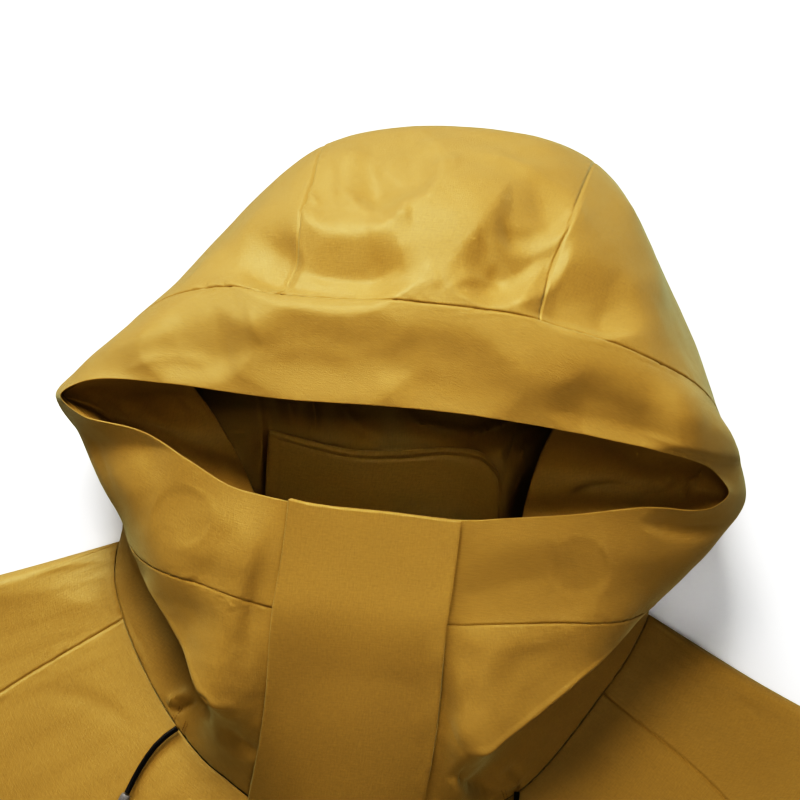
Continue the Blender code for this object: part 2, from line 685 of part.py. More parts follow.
def main():
    for thing in list(bpy.data.objects):
        bpy.data.objects.remove(thing, do_unlink=True)
    looks = {
        "shell": material("shell_cloth", SHELL_COLOUR, 0.75),
        "lining": material("lining_cloth", LINING_COLOUR, 0.8),
        "cord": material("cord_black", CORD_COLOUR, 0.35),
        "cord_end": material("cord_end_grey", CORD_END_COLOUR, 0.4),
    }
    grid = rings()
    out = normals(grid, wraps=True)
    at, _ = columns_of()
    shoulders = [grid[-1, at[place]] for place in ("cheek_12", "cheek_23")]
    lips = [grid[0, at[place]] for place in ("left_corner", "right_corner")]
    inner = grid - out * wall_depth(grid, shoulders, lips)
    neck = spaced(taken(grid, at["cheek_12"], at["cheek_23"])[-1], NECK_POINTS)
    hood_and_collar(grid, inner, looks)
    body_and_sleeves(grid, neck, shoulders, looks)
    storm_flap(grid, neck, looks)
    inside(inner, out, looks)
    drawcords(neck, looks)


main()
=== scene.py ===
import math

import bpy
import numpy as np
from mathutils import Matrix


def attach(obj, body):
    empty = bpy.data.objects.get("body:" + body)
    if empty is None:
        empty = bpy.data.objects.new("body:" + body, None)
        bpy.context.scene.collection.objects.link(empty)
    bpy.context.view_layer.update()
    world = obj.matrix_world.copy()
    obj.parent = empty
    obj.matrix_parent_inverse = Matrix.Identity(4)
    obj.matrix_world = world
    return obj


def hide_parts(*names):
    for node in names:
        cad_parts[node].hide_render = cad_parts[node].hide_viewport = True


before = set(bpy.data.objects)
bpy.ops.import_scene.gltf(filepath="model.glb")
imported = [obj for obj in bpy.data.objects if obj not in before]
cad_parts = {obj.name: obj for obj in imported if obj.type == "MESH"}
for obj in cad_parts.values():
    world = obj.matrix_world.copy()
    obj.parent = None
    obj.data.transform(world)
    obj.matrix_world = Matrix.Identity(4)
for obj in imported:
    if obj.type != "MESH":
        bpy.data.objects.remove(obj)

bl_info = {
    "name": "Hooded jacket, laid flat",
    "version": (1, 0, 0),
    "blender": (4, 5, 0),
    "location": "3D View > Sidebar > Jacket",
    "description": "Dresses the packed jacket with cloth, seams, folds, cords, a floor and light",
    "category": "Object",
}

BODY = "root"

# Gaps and walls, in metres, as the solids have them
FLAP_GAP = 0.0008
LAYER_GAP = 0.0005
THIN_WALL = 0.0012
THIN_REACH = (0.040, 0.070)
LIP_THIN_REACH = (0.010, 0.022)

# The plan: the view from straight above on which the shape round the face was set out. Its unit is
# PLAN_UNIT on the floor and shrinks with height, because the eye is EYE_HEIGHT above the floor.
PLAN_UNIT = 0.00046
EYE_HEIGHT = 1.80
PLAN_TURN = math.radians(7.9)
PLAN_CENTRE = 400.0
EYE_X = -0.0035
EYE_Y = 0.0811

# Body and sleeves, half of the garment, in metres
HEM_Y = -0.735
HEM_HALF = 0.292
SIDE_SEAM_BULGE = 0.006
UNDERARM = (0.290, -0.262)
RAGLAN_FRONT = ((0.166, -0.0765), (0.221, -0.130), (0.264, -0.200))
RAGLAN_BACK = ((0.150, -0.053), (0.212, -0.113), (0.258, -0.190))
SHOULDER_LINE = ((0.178, -0.025), (0.236, -0.047), (0.330, -0.086), (0.405, -0.122))
BICEPS_OUTER = (0.452, -0.170)
CUFF_INNER = (0.490, -0.608)
CUFF_OUTER = (0.598, -0.546)
LAID_HEIGHT = 0.0078
EDGE_HEIGHT = 0.0064
EDGE_REACH = 0.022
EDGE_FREE = 0.02
FOLD_FADE = 2.0
CHEST_REACH = 0.085
CHEST_FADE = 1.6
SIDE_EDGE_START = 0.05
SLEEVE_GRADE = 1.6
FOLD_COLUMNS = 5.0
BESIDE_FLAP = (0.045, 0.060)
RAGLAN_ROWS = 8
SIDE_ROWS = 7
ARM_ROWS = 7
FLAP_SPREAD = 1.7
FLAP_LIFT = 0.0010
LINE_STEPS = 8
NECK_POINTS = 1200

# How the grids are spaced: the points tried along a line, and how much closer to each other and over
# what length the grid's lines stand at a mark
TRIALS = 900
MARK_WEIGHT = 5
MARK_REACH = 0.006

# One row for each section round the face opening, clockwise on the plan from the left corner: the
# number of grid steps of the solids to the next section, then across, down (plan units) and height
# (millimetres) of the lip, the middle of the band and the band's outer seam.
BAND_SECTIONS = (
    ("left_corner", 5, 60, 396, 91, 56, 398, 70, 66, 410, 46),
    ("brim_1", 4, 82, 381, 100, 76, 372, 84, 90, 370, 52),
    ("brim_2", 3, 168, 383, 120, 160, 334, 120, 165, 298, 98),
    ("brim_3", 4, 225, 391, 129, 221, 338, 132, 222, 286, 121),
    ("crown_seam_left", 6, 285, 399, 137, 279, 345, 144, 273, 289, 138),
    ("crown_centre", 6, 400, 407, 143, 405, 355, 150, 410, 301, 149),
    ("crown_seam_right", 5, 530, 424, 139, 535, 372, 147, 541, 319, 146),
    ("brim_7", 4, 622, 443, 130, 632, 398, 137, 640, 353, 130),
    ("brim_8", 3, 682, 456, 118, 698, 421, 120, 704, 392, 99),
    ("brim_9", 4, 714, 472, 101, 735, 455, 88, 728, 450, 54),
    ("right_corner", 4, 729, 494, 92, 745, 502, 72, 731, 504, 44),
    ("cheek_11", 3, 708, 510, 97, 722, 532, 77, 706, 544, 46),
    ("cheek_12", 4, 646, 508, 106, 680, 562, 86, 664, 596, 57),
    ("collar_13", 3, 579, 515, 111, 604, 570, 102, 624, 622, 87),
    ("raglan_right", 3, 532, 518, 113, 545, 572, 107, 562, 625, 99),
    ("collar_15", 1, 495, 520, 113, 497, 572, 108, 502, 627, 102),
    ("hook_right", 1, 483, 521, 113, 484, 572, 108, 485, 627, 102),
    ("past_right", 1, 472, 521, 114, 469, 572, 108, 466, 627, 102),
    ("flap_right", 4, 461, 521, 114, 455, 572, 108, 447, 626, 102),
    ("front_centre", 4, 392, 513, 115, 384, 566, 108, 376, 620, 101),
    ("flap_left", 2, 292, 503, 113, 284, 556, 107, 275, 610, 100),
    ("past_left", 1, 274, 499, 112, 264, 551, 107, 254, 604, 99),
    ("collar_19", 3, 262, 496, 111, 251, 548, 108, 240, 600, 102),
    ("collar_20", 3, 231, 487, 109, 218, 538, 105, 204, 587, 97),
    ("raglan_left", 3, 187, 460, 106, 170, 516, 99, 156, 570, 86),
    ("cheek_22", 3, 158, 443, 104, 141, 500, 94, 131, 548, 68),
    ("cheek_23", 3, 137, 432, 101, 108, 484, 86, 119, 512, 58),
    ("cheek_24", 4, 82, 416, 95, 72, 418, 78, 84, 440, 50),
)

# The same sections carried down: the crown or the collar's face, its widest line or fold, the floor
# line or the valley under the fold, and the neck seam; across, down and height of each.
LOWER_SECTIONS = (
    ("left_corner", 84, 426, 26, 106, 444, 9, 140, 462, 0, 150, 553, 0),
    ("brim_1", 108, 370, 30, 126, 374, 10, 148, 384, 0, 172, 566, 0),
    ("brim_2", 168, 290, 70, 176, 292, 36, 200, 308, 0, 198, 580, 0),
    ("brim_3", 221, 254, 100, 226, 228, 60, 246, 240, 0, 240, 597, 0),
    ("crown_seam_left", 297, 219, 122, 322, 147, 62, 326, 172, 0, 300, 612, 0),
    ("crown_centre", 430, 206, 134, 448, 127, 64, 444, 156, 0, 377, 624, 0),
    ("crown_seam_right", 565, 236, 126, 594, 163, 60, 588, 190, 0, 455, 634, 0),
    ("brim_7", 656, 306, 104, 668, 285, 62, 652, 290, 0, 512, 637, 0),
    ("brim_8", 712, 392, 70, 708, 388, 34, 690, 386, 0, 553, 637, 0),
    ("brim_9", 720, 452, 30, 706, 452, 10, 688, 450, 0, 585, 634, 0),
    ("right_corner", 716, 506, 24, 698, 502, 9, 664, 502, 0, 610, 629, 0),
    ("cheek_11", 690, 546, 26, 670, 558, 12, 652, 570, 1.0, 634, 622, 0),
    ("cheek_12", 660, 592, 44, 655, 589, 24, 651, 592, 9, 648, 614, 6.2),
    ("collar_13", 618, 643, 77, 598, 632, 48, 600, 640, 25, 632, 652, 14.5),
    ("raglan_right", 584, 676, 87, 560, 660, 58, 563, 672, 34, 604, 693, 19),
    ("collar_15", 511, 737, 87, 503, 732, 67, 505, 750, 49, 521, 791, 34),
    ("hook_right", 485, 756, 87, 484, 760, 71, 484, 774, 52, 492, 808, 37),
    ("past_right", 466, 752, 85, 461, 780, 73, 456, 804, 58, 452, 828, 40),
    ("flap_right", 440, 712, 85, 433, 758, 73, 424, 800, 59, 413, 847, 43),
    ("front_centre", 367, 688, 87, 360, 742, 75, 352, 797, 61, 345, 856, 45),
    ("flap_left", 267, 694, 82, 263, 732, 70, 258, 766, 55, 252, 800, 38),
    ("past_left", 239, 706, 82, 236, 730, 69, 230, 752, 52, 222, 776, 34),
    ("collar_19", 211, 706, 84, 213, 712, 66, 209, 730, 46, 206, 763, 31),
    ("collar_20", 179, 642, 78, 201, 642, 52, 194, 656, 31, 163, 706, 23),
    ("raglan_left", 147, 586, 72, 170, 586, 46, 162, 596, 21, 123, 619, 16.5),
    ("cheek_22", 136, 560, 50, 144, 562, 31, 136, 565, 18, 114, 571, 13.5),
    ("cheek_23", 121, 508, 40, 122, 511, 22, 123, 519, 9, 121, 541, 6.2),
    ("cheek_24", 96, 453, 28, 110, 474, 12, 125, 494, 1.0, 133, 547, 0),
)
PLACES = [row[0] for row in BAND_SECTIONS]
COLUMN_STEPS = np.array([row[1] for row in BAND_SECTIONS])
COLUMN_STARTS = np.concatenate([[0], np.cumsum(COLUMN_STEPS)])

# Levels down the hood and collar, as spans between the rows of the tables
LIP, SEAM, FACE, FOLD, NECK = 0.0, 2.0, 4.0, 6.0, 9.0

# How crisp the ridge at the face's lowest line is, for each section: 0 leaves it on a smooth curve,
# 1 has the face run straight to it.
CRISP = {
    "cheek_11": 0.5, "cheek_12": 0.9, "collar_13": 1.0, "raglan_right": 1.0, "collar_15": 0.9,
    "hook_right": 0.8, "collar_19": 0.9, "collar_20": 1.0, "raglan_left": 1.0,
    "cheek_22": 1.0, "cheek_23": 0.6, "cheek_24": 0.3,
}
BROW_SHARE = 0.90
UNDER_SHARE = 0.16

NECK_PANEL = (
    (270, 431, 21, 262, 560, 6),
    (306, 441, 20, 305, 571, 6),
    (350, 451, 19, 350, 578, 6),
    (400, 452, 18, 400, 584, 6),
    (450, 449, 19, 450, 590, 6),
    (481, 454, 19, 478, 592, 6),
    (497, 470, 16, 492, 593, 6),
    (501, 490, 12, 498, 593, 6),
)
FACING_LEVEL = 1 / 3
FACING_OFF = 0.0012
FACING_START = 0.02
FACINGS = {
    "facing_left": ("left_corner", ("brim_2", 0), ("collar_19", 0), 0.046, 0.003),
    "facing_right": ("right_corner", ("crown_seam_right", 2), ("raglan_right", 1), 0.050, 0.002),
}
CORD_STEP = 0.006
CORD_LIFT = 0.0022
CORD_END_LENGTH = 0.017

# The cord end from the cord outwards: how far along it is, in metres, and the share of its radius
CORD_END_PROFILE = (
    (0.0, 0.72), (0.0004, 0.86), (0.0012, 0.93), (0.0030, 0.97), (0.0060, 1.0), (0.0075, 0.93),
    (0.0090, 1.0), (0.0140, 0.97), (0.0160, 0.90), (0.0167, 0.76), (0.0170, 0.5),
)

# The cords' routes on the plan, from the neck seam to the ends
CORDS = {
    "left": ((177, 728), (160, 741), (145, 760), (135, 777), (127, 793)),
    "right": ((517, 792), (516, 812), (520, 836), (526, 853), (536, 869)),
}


# ---- From the plan to metres and back ----


def from_plan(across, down, height_mm):
    """Points in metres for plan coordinates and a height: the plan's unit at that height times the
    distance from the point under the eye, turned from the plan's axes to the garment's."""
    height = np.asarray(height_mm, float) / 1000.0
    unit_here = PLAN_UNIT * (EYE_HEIGHT - height) / EYE_HEIGHT
    right = (np.asarray(across, float) - PLAN_CENTRE) * unit_here
    back = (np.asarray(down, float) - PLAN_CENTRE) * unit_here
    x = EYE_X + right * math.cos(PLAN_TURN) + back * math.sin(PLAN_TURN)
    y = EYE_Y + right * math.sin(PLAN_TURN) - back * math.cos(PLAN_TURN)
    return np.stack(np.broadcast_arrays(x, y, height), axis=-1)


def to_plan(points):
    """The plan's across and down of points in metres: from_plan turned round."""
    unit_here = PLAN_UNIT * (EYE_HEIGHT - points[..., 2]) / EYE_HEIGHT
    x, y = points[..., 0] - EYE_X, points[..., 1] - EYE_Y
    right = x * math.cos(PLAN_TURN) + y * math.sin(PLAN_TURN)
    back = x * math.sin(PLAN_TURN) - y * math.cos(PLAN_TURN)
    return np.stack([PLAN_CENTRE + right / unit_here, PLAN_CENTRE + back / unit_here], axis=-1)


# ---- Smooth lines and surfaces ----


def unit(vectors):
    """Vectors over their own lengths."""
    return vectors / np.maximum(np.linalg.norm(vectors, axis=-1, keepdims=True), 1e-12)


def eased(value, low, high):
    """0 below low, 1 above high and a smooth step between."""
    t = np.clip((np.asarray(value, float) - low) / (high - low), 0.0, 1.0)
    return t * t * (3 - 2 * t)


def along_knots(points, params, closed=False):
    """Points on smooth lines through points, an array (knots, lines, 3), at params counted in knots.
    Each span is a cubic whose end tangents are the neighbouring slopes weighted by the chords."""
    knots = len(points)
    after = np.roll(points, -1, axis=0)
    chord = np.maximum(np.linalg.norm(after - points, axis=2, keepdims=True), 1e-6) ** 0.75
    slope = (after - points) / chord
    before_slope = np.roll(slope, 1, axis=0)
    before_chord = np.roll(chord, 1, axis=0)
    tangent = (slope * before_chord + before_slope * chord) / (chord + before_chord)
    if not closed:
        tangent[0] = slope[0]
        tangent[-1] = before_slope[-1]
    params = np.asarray(params, float)
    k = np.floor(params).astype(int)
    if not closed:
        k = np.clip(k, 0, knots - 2)
    t = (params - k)[:, None, None]
    k = k % knots
    n = (k + 1) % knots
    return (
        points[k] * (2 * t**3 - 3 * t**2 + 1)
        + tangent[k] * chord[k] * (t**3 - 2 * t**2 + t)
        + points[n] * (3 * t**2 - 2 * t**3)
        + tangent[n] * chord[k] * (t**3 - t**2)
    )


def smooth_line(points, steps):
    """One open smooth line through knots, with the same number of steps in each span."""
    knots = np.array(points, float)
    if knots.shape[1] == 2:
        knots = np.column_stack([knots, np.zeros(len(knots))])
    params = np.linspace(0, len(knots) - 1, steps * (len(knots) - 1) + 1)
    return along_knots(knots[:, None, :], params)[:, 0, :]


def lengths(line):
    """How far along a line each of its points is: the sum of the steps before it."""
    return np.concatenate([[0.0], np.cumsum(np.linalg.norm(np.diff(line, axis=0), axis=1))])


def at_shares(line, shares):
    """Points of a line at shares of its length."""
    run = lengths(line)
    at = np.asarray(shares) * run[-1]
    return np.stack([np.interp(at, run, line[:, k]) for k in range(line.shape[1])], axis=1)


def spaced(line, count):
    """A line's points at count equal steps of its length."""
    return at_shares(line, np.linspace(0, 1, count + 1))


def graded(count, near=0.9):
    """Shares from 0 to 1 that stand closer together at both ends: x minus a sine's slope in it."""
    x = np.linspace(0, 1, count + 1)
    return x - near * np.sin(2 * math.pi * x) / (2 * math.pi)


def shell_knots():
    """The tables' points in metres, (sections, levels, 3), with a line halfway down to the neck seam and
    one on each side of the face's lowest line, moved by CRISP from the smooth curve to the chord."""
    band = np.array([row[2:] for row in BAND_SECTIONS], float).reshape(-1, 3, 3)
    lower = np.array([row[1:] for row in LOWER_SECTIONS], float).reshape(-1, 4, 3)
    knots = np.concatenate([band, lower], axis=1)
    knots = from_plan(knots[..., 0], knots[..., 1], knots[..., 2])
    between = (knots[:, -2:-1] + knots[:, -1:]) / 2
    knots = np.concatenate([knots[:, :-1], between, knots[:, -1:]], axis=1)
    seam, face, fold = knots[:, 2], knots[:, 3], knots[:, 4]
    round_brow, round_under = along_knots(knots.transpose(1, 0, 2), [2 + BROW_SHARE, 3 + UNDER_SHARE])
    crisp = np.array([CRISP.get(place, 0.0) for place in PLACES])[:, None]
    brow = round_brow + (seam + (face - seam) * BROW_SHARE - round_brow) * crisp
    under = round_under + (face + (fold - face) * UNDER_SHARE - round_under) * crisp
    return np.concatenate(
        [knots[:, :3], brow[:, None], knots[:, 3:4], under[:, None], knots[:, 4:]], axis=1
    )


SHELL_KNOTS = shell_knots()


def shell(sections, levels):
    """The outer face of hood and collar at section parameters and levels: smooth closed loops round
    the face opening through the sections, and smooth lines down through the loops."""
    loops = along_knots(SHELL_KNOTS, sections, closed=True)
    grid = along_knots(loops.transpose(1, 0, 2), levels)
    grid[..., 2] = np.maximum(grid[..., 2], 0.0)
    return grid


def shell_normals(sections, levels, step=0.02):
    """Unit normals of shell from its differences over a small step each way."""
    sections, levels = np.asarray(sections, float), np.asarray(levels, float)
    across = shell(sections + step, levels) - shell(sections - step, levels)
    below, above = np.minimum(levels + step, NECK), np.maximum(levels - step, LIP)
    down = shell(sections, below) - shell(sections, above)
    return unit(np.cross(across, down))


def section(name, extra=0.0):
    """A section's parameter: its row in the tables, and a part of the way on to the next."""
    return PLACES.index(name) + extra


def start_column(name):
    """The column of the solids' grid on which a section stands."""
    return int(COLUMN_STARTS[PLACES.index(name)])


def section_at(columns):
    """Section parameters for column numbers of the solids' grid."""
    total = COLUMN_STARTS[-1]
    columns = np.asarray(columns, float)
    turns = np.floor(columns / total)
    within = np.interp(columns - turns * total, COLUMN_STARTS, np.arange(len(COLUMN_STARTS)))
    return within + turns * len(PLACES)


def closer_at(line, trial, count, marks):
    """Parameters along a line of trial points, evenly spaced but several times closer to each other
    near the marks: the line's length is weighted by one plus a bell at each mark."""
    run = lengths(line)
    places = np.interp(marks, trial, run)
    weight = 1 + MARK_WEIGHT * np.exp(-(((run[:, None] - places) / MARK_REACH) ** 2)).sum(axis=1)
    total = np.concatenate([[0.0], np.cumsum(np.diff(run) * (weight[1:] + weight[:-1]) / 2)])
    return np.interp(np.linspace(0, total[-1], count + 1), total, trial)


def graded_sections(first, last, level, count):
    """Section parameters from first to last at one level, closer at the ends."""
    trial = np.linspace(first, last, TRIALS)
    return closer_at(shell(trial, [level])[0], trial, count, (first, last))


def graded_levels(first, last, at_section, count, marks=()):
    """Level parameters from first to last at one section, closer at the ends and the marks."""
    trial = np.linspace(first, last, TRIALS)
    return closer_at(shell([at_section], trial)[:, 0], trial, count, (first, last, *marks))


def shell_points(names, level):
    """The shell's points at one level of the named sections."""
    return [shell([section(name)], [level])[0, 0] for name in names]


def wall_depth(points, thick):
    """The wall's thickness at points: thin near the shoulder points and the mouth's corners, where
    the cloth is folded on a radius of a few millimetres."""
    share = np.ones(points.shape[:-1])
    shoulders = shell_points(("cheek_12", "cheek_23"), NECK)
    corners = shell_points(("left_corner", "right_corner"), LIP)
    for places, reach in ((shoulders, THIN_REACH), (corners, LIP_THIN_REACH)):
        for place in places:
            share = np.minimum(share, eased(np.linalg.norm(points - place, axis=-1), *reach))
    return (THIN_WALL + (thick - THIN_WALL) * share)[..., None]


def grid_normals(grid):
    """Unit normals of a grid (rows, columns, 3): across the columns' direction times the rows'."""
    return unit(np.cross(np.gradient(grid, axis=1), np.gradient(grid, axis=0)))


# ---- Folds, creases and seams ----

# Waves: how many are added, and what the sum is divided by to lie around -1 to 1
WAVE_COUNT = 8
WAVE_SCALE = 3.2

# Creases: the share of the length over which an end fades, how narrow it gets there, the rounded top
# as a share of the width, and the power of a dent's side
CREASE_END = 0.35
CREASE_END_WIDTH = 0.4
FOLD_TOP = 0.18
DENT_TOP = 0.12
DENT_POWER = 1.6

# Seams, in metres: the groove's depth, the same where it is flush, its width and its width at a top
# edge, and the puckers' height, two wavelengths and reach
GROOVE_DEPTH = 0.0007
FLUSH_DEPTH = 0.0002
GROOVE_WIDTH = 0.0007
GROOVE_TOP_WIDTH = 0.00045
PUCKER = 0.00030
PUCKER_WAVES = (0.0048, 0.05)
PUCKER_REACH = 0.004


def waves(points, length, seed):
    """A smooth uneven field of about -1 to 1: eight sine waves in fixed random directions."""
    rng = np.random.default_rng(seed)
    field = np.zeros(points.shape[:-1])
    for _ in range(WAVE_COUNT):
        way = unit(rng.normal(size=3)) * rng.uniform(0.7, 1.5)
        field += np.sin(points @ way * (2 * math.pi / length) + rng.uniform(0, 2 * math.pi))
    return field / WAVE_SCALE


def line_distance(places, line):
    """How far places (..., 2) are from a line of points, the share of its length they are at, and
    whether they are on its left as it runs."""
    best = np.full(places.shape[:-1], 1e9)
    share = np.zeros(places.shape[:-1])
    side = np.zeros(places.shape[:-1], bool)
    run = lengths(line)
    for k in range(len(line) - 1):
        a, b = line[k], line[k + 1]
        along = b - a
        t = np.clip(((places - a) @ along) / max(along @ along, 1e-9), 0, 1)
        off = places - (a + t[..., None] * along)
        away = np.linalg.norm(off, axis=-1)
        nearer = away < best
        best = np.where(nearer, away, best)
        share = np.where(nearer, (run[k] + t * (run[k + 1] - run[k])) / run[-1], share)
        side = np.where(nearer, along[0] * off[..., 1] - along[1] * off[..., 0] < 0, side)
    return best, share, side


def creased(places, creases):
    """The height in millimetres that a table of creases adds at places. A row is its kind, the widths
    of its left and right sides, its height and a line's points. Across the line a fold falls off
    exponentially from a slightly rounded top, a dent as a power of what is left of the width, and a
    hollow as the square of one minus the square of the share of the width. Along it both ends fade and
    narrow."""
    total = np.zeros(places.shape[:-1])
    for kind, left, right, height, *points in creases:
        line = np.array(points, float)
        if len(points) > 2:
            line = smooth_line(line, 5)[:, :2]
        away, share, to_left = line_distance(places, line)
        ends = np.minimum(eased(share, -0.02, CREASE_END), eased(1.02 - share, 0.0, CREASE_END))
        width = np.where(to_left, left, right) * (CREASE_END_WIDTH + (1 - CREASE_END_WIDTH) * ends)
        top = (FOLD_TOP if kind == "fold" else DENT_TOP) * width
        away = np.sqrt(away**2 + top**2) - top
        if kind == "fold":
            across = np.exp(-away / width)
        elif kind == "dent":
            across = np.clip(1 - away / width, 0.0, 1.0) ** DENT_POWER
        else:
            across = np.clip(1 - (away / width) ** 2, 0.0, 1.0) ** 2
        total += height * across * ends
    return total


def edge_runs(grid):
    """Each vertex's distance in metres along the surface from the four edges: top, bottom, left and
    right."""
    down = np.linalg.norm(np.diff(grid, axis=0), axis=2)
    across = np.linalg.norm(np.diff(grid, axis=1), axis=2)
    from_top = np.concatenate([np.zeros((1, grid.shape[1])), np.cumsum(down, axis=0)])
    from_left = np.concatenate([np.zeros((grid.shape[0], 1)), np.cumsum(across, axis=1)], axis=1)
    return {
        "t": from_top,
        "b": from_top[-1:] - from_top,
        "l": from_left,
        "r": from_left[:, -1:] - from_left,
    }


def seam_dip(grid, runs, sides, seed, flush=""):
    """How far the cloth goes in towards its sewn edges: a narrow bell-shaped groove at the edge,
    shallow on the sides named in flush, and small puckers that fall off exponentially from it."""
    dip = np.zeros(grid.shape[:2])
    drawn = waves(grid, PUCKER_WAVES[0], seed) * waves(grid, PUCKER_WAVES[1], seed + 1)
    for side in sides:
        away = runs[side]
        width = GROOVE_TOP_WIDTH if side == "t" else GROOVE_WIDTH
        depth = FLUSH_DEPTH if side in flush else GROOVE_DEPTH
        dip -= depth * np.exp(-((away / width) ** 2))
        dip += PUCKER * drawn * np.exp(-away / PUCKER_REACH)
    return dip


def free_of(runs, sides, reach):
    """0 at the named edges and 1 from the reach inwards, eased."""
    return eased(np.minimum.reduce([runs[side] for side in sides]), 0.0, reach)


# ---- Meshes ----

ROUND_STEPS = 5
CLOTH_SHARP = 60
END_SHARP = 50


def smooth_mesh(name, points, faces):
    """A mesh of points and faces, shaded smooth."""
    mesh = bpy.data.meshes.new(name)
    mesh.from_pydata(points, [], faces)
    mesh.polygons.foreach_set("use_smooth", np.ones(len(mesh.polygons), bool))
    mesh.update()
    return mesh


def tube_faces(index):
    """The faces of a closed tube for a grid of vertex numbers, a row for each ring: its side and its
    two ends."""
    after = np.roll(index, -1, axis=1)
    sides = np.stack([index[:-1], index[1:], after[1:], after[:-1]], axis=-1).reshape(-1, 4)
    return sides.tolist() + [index[0].tolist(), index[-1, ::-1].tolist()]


def closed_mesh(name, outer, inner, runs, round_sides=""):
    """A closed body between two grids. A side named in round_sides gets a half round between its two
    edges, and any other a flat strip. The UV map is the length along each row and column."""
    rows, columns = outer.shape[:2]
    count = rows * columns
    index = np.arange(count).reshape(rows, columns)
    a, b = index[:-1, :-1].ravel(), index[:-1, 1:].ravel()
    d, c = index[1:, :-1].ravel(), index[1:, 1:].ravel()
    quads = [np.stack([a, d, c, b], 1), np.stack([a, b, c, d], 1) + count]
    border = np.concatenate([index[0, :-1], index[:-1, -1], index[-1, :0:-1], index[:0:-1, 0]])
    side_of = np.array(
        ["t"] * (columns - 1) + ["r"] * (rows - 1) + ["b"] * (columns - 1) + ["l"] * (rows - 1)
    )
    near = np.concatenate([index[1, :-1], index[:-1, -2], index[-2, :0:-1], index[:0:-1, 1]])
    flat_outer, flat_inner = outer.reshape(-1, 3), inner.reshape(-1, 3)
    middle = (flat_outer[border] + flat_inner[border]) / 2
    half = (flat_outer[border] - flat_inner[border]) / 2
    beyond = flat_outer[border] - flat_outer[near]
    along_half = (beyond * half).sum(1, keepdims=True) / (half * half).sum(1, keepdims=True)
    beyond = unit(beyond - half * along_half)
    bulge = np.isin(side_of, list(round_sides))[:, None] * np.linalg.norm(half, axis=1, keepdims=True)
    turns = np.linspace(0, math.pi, ROUND_STEPS + 1)[1:-1] if round_sides else []
    strips = [middle + half * math.cos(turn) + beyond * bulge * math.sin(turn) for turn in turns]
    points = np.concatenate([flat_outer, flat_inner, *strips])
    between = [2 * count + np.arange(len(border)) + k * len(border) for k in range(len(strips))]
    loops = [border, *between, border + count]
    for first, last in zip(loops[:-1], loops[1:]):
        quads.append(np.stack([first, np.roll(first, -1), np.roll(last, -1), last], 1))
    mesh = smooth_mesh(name, points.tolist(), np.concatenate(quads).tolist())
    flat = np.stack([runs["l"].ravel(), runs["t"].ravel()], 1)
    spread = np.concatenate([flat, flat, *([flat[border]] * len(strips))])
    layer = mesh.uv_layers.new(name="cloth")
    corners = np.empty(len(mesh.loops), int)
    mesh.loops.foreach_get("vertex_index", corners)
    layer.data.foreach_set("uv", spread[corners].astype(np.float32).ravel())
    mesh.set_sharp_from_angle(angle=math.radians(CLOTH_SHARP))
    return mesh


def add_object(name, data):
    """A new object in the scene, at the origin."""
    thing = bpy.data.objects.new(name, data)
    bpy.context.scene.collection.objects.link(thing)
    return thing


def add_piece(name, data, look, node=None):
    """A visible piece on the body, with its look and slot, in the place of a solid where it has one."""
    piece = add_object(name, data)
    data.materials.append(look)
    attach(piece, BODY)
    if node:
        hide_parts(node)
    return piece


def add_cloth(node, outer, inner, runs, look, round_sides="", held="laid", rests_on=()):
    """A cloth piece between two grids in the place of a solid."""
    mesh = closed_mesh(node + "_cloth", outer, inner, runs, round_sides)
    piece = add_piece(node + "_cloth", mesh, look, node)


# ---- Materials ----


SHELL_LOOK = "ochre_shell_cloth"
LINING_LOOK = "dark_ochre_lining"
SHEEN_ROUGHNESS = 0.35
SHEEN_TINT = (0.86, 1.0, 0.60, 1.0)
SPECULAR_LEVEL = 1.0

# The weave, in threads: the slubs' scale, the stretch of the streaks along weft and warp, and how much
# threads and slubs raise it
SLUB_SCALE = 0.30
SLUB_WEIGHT = 1.2
STREAKS = ((0.6, 0.08, 1.0), (0.08, 0.6, 1.0))
THREAD_WEIGHT = 0.5
WEAVE_SHADE = (0.22, 0.648)
WEAVE_BUMP = 0.6
WEAVE_DEPTH = 0.00012

# The soft uneven tone over the whole garment: its scale, its amount and its least
TONE_SCALE = 22.0
TONE_SHADE = (0.12, 0.94)


def link(tree, source, target):
    tree.links.new(source, target)


def math_node(tree, operation, *values):
    """A math node's output for numbers or sockets."""
    node = tree.nodes.new("ShaderNodeMath")
    node.operation = operation
    for socket, value in zip(node.inputs, values):
        if isinstance(value, (int, float)):
            socket.default_value = value
        else:
            link(tree, value, socket)
    return node.outputs[0]


def vector_node(tree, operation, vector):
    """A vector math node whose first input is a socket."""
    node = tree.nodes.new("ShaderNodeVectorMath")
    node.operation = operation
    link(tree, vector, node.inputs[0])
    return node


def noise_node(tree, vector, scale, detail):
    """A noise texture's factor at a vector."""
    node = tree.nodes.new("ShaderNodeTexNoise")
    node.inputs["Scale"].default_value = scale
    node.inputs["Detail"].default_value = detail
    link(tree, vector, node.inputs["Vector"])
    return node.outputs["Fac"]


def two_tone(tree, shader, factor, dark, light):
    """The base colour between dark and light by a factor."""
    ramp = tree.nodes.new("ShaderNodeValToRGB")
    ramp.color_ramp.elements[0].color = (*dark, 1)
    ramp.color_ramp.elements[1].color = (*light, 1)
    link(tree, factor, ramp.inputs["Fac"])
    link(tree, ramp.outputs["Color"], shader.inputs["Base Color"])


def bumped(tree, shader, height, strength, distance):
    """The shader's normal from a height."""
    bump = tree.nodes.new("ShaderNodeBump")
    bump.inputs["Strength"].default_value = strength
    bump.inputs["Distance"].default_value = distance
    link(tree, height, bump.inputs["Height"])
    link(tree, bump.outputs["Normal"], shader.inputs["Normal"])


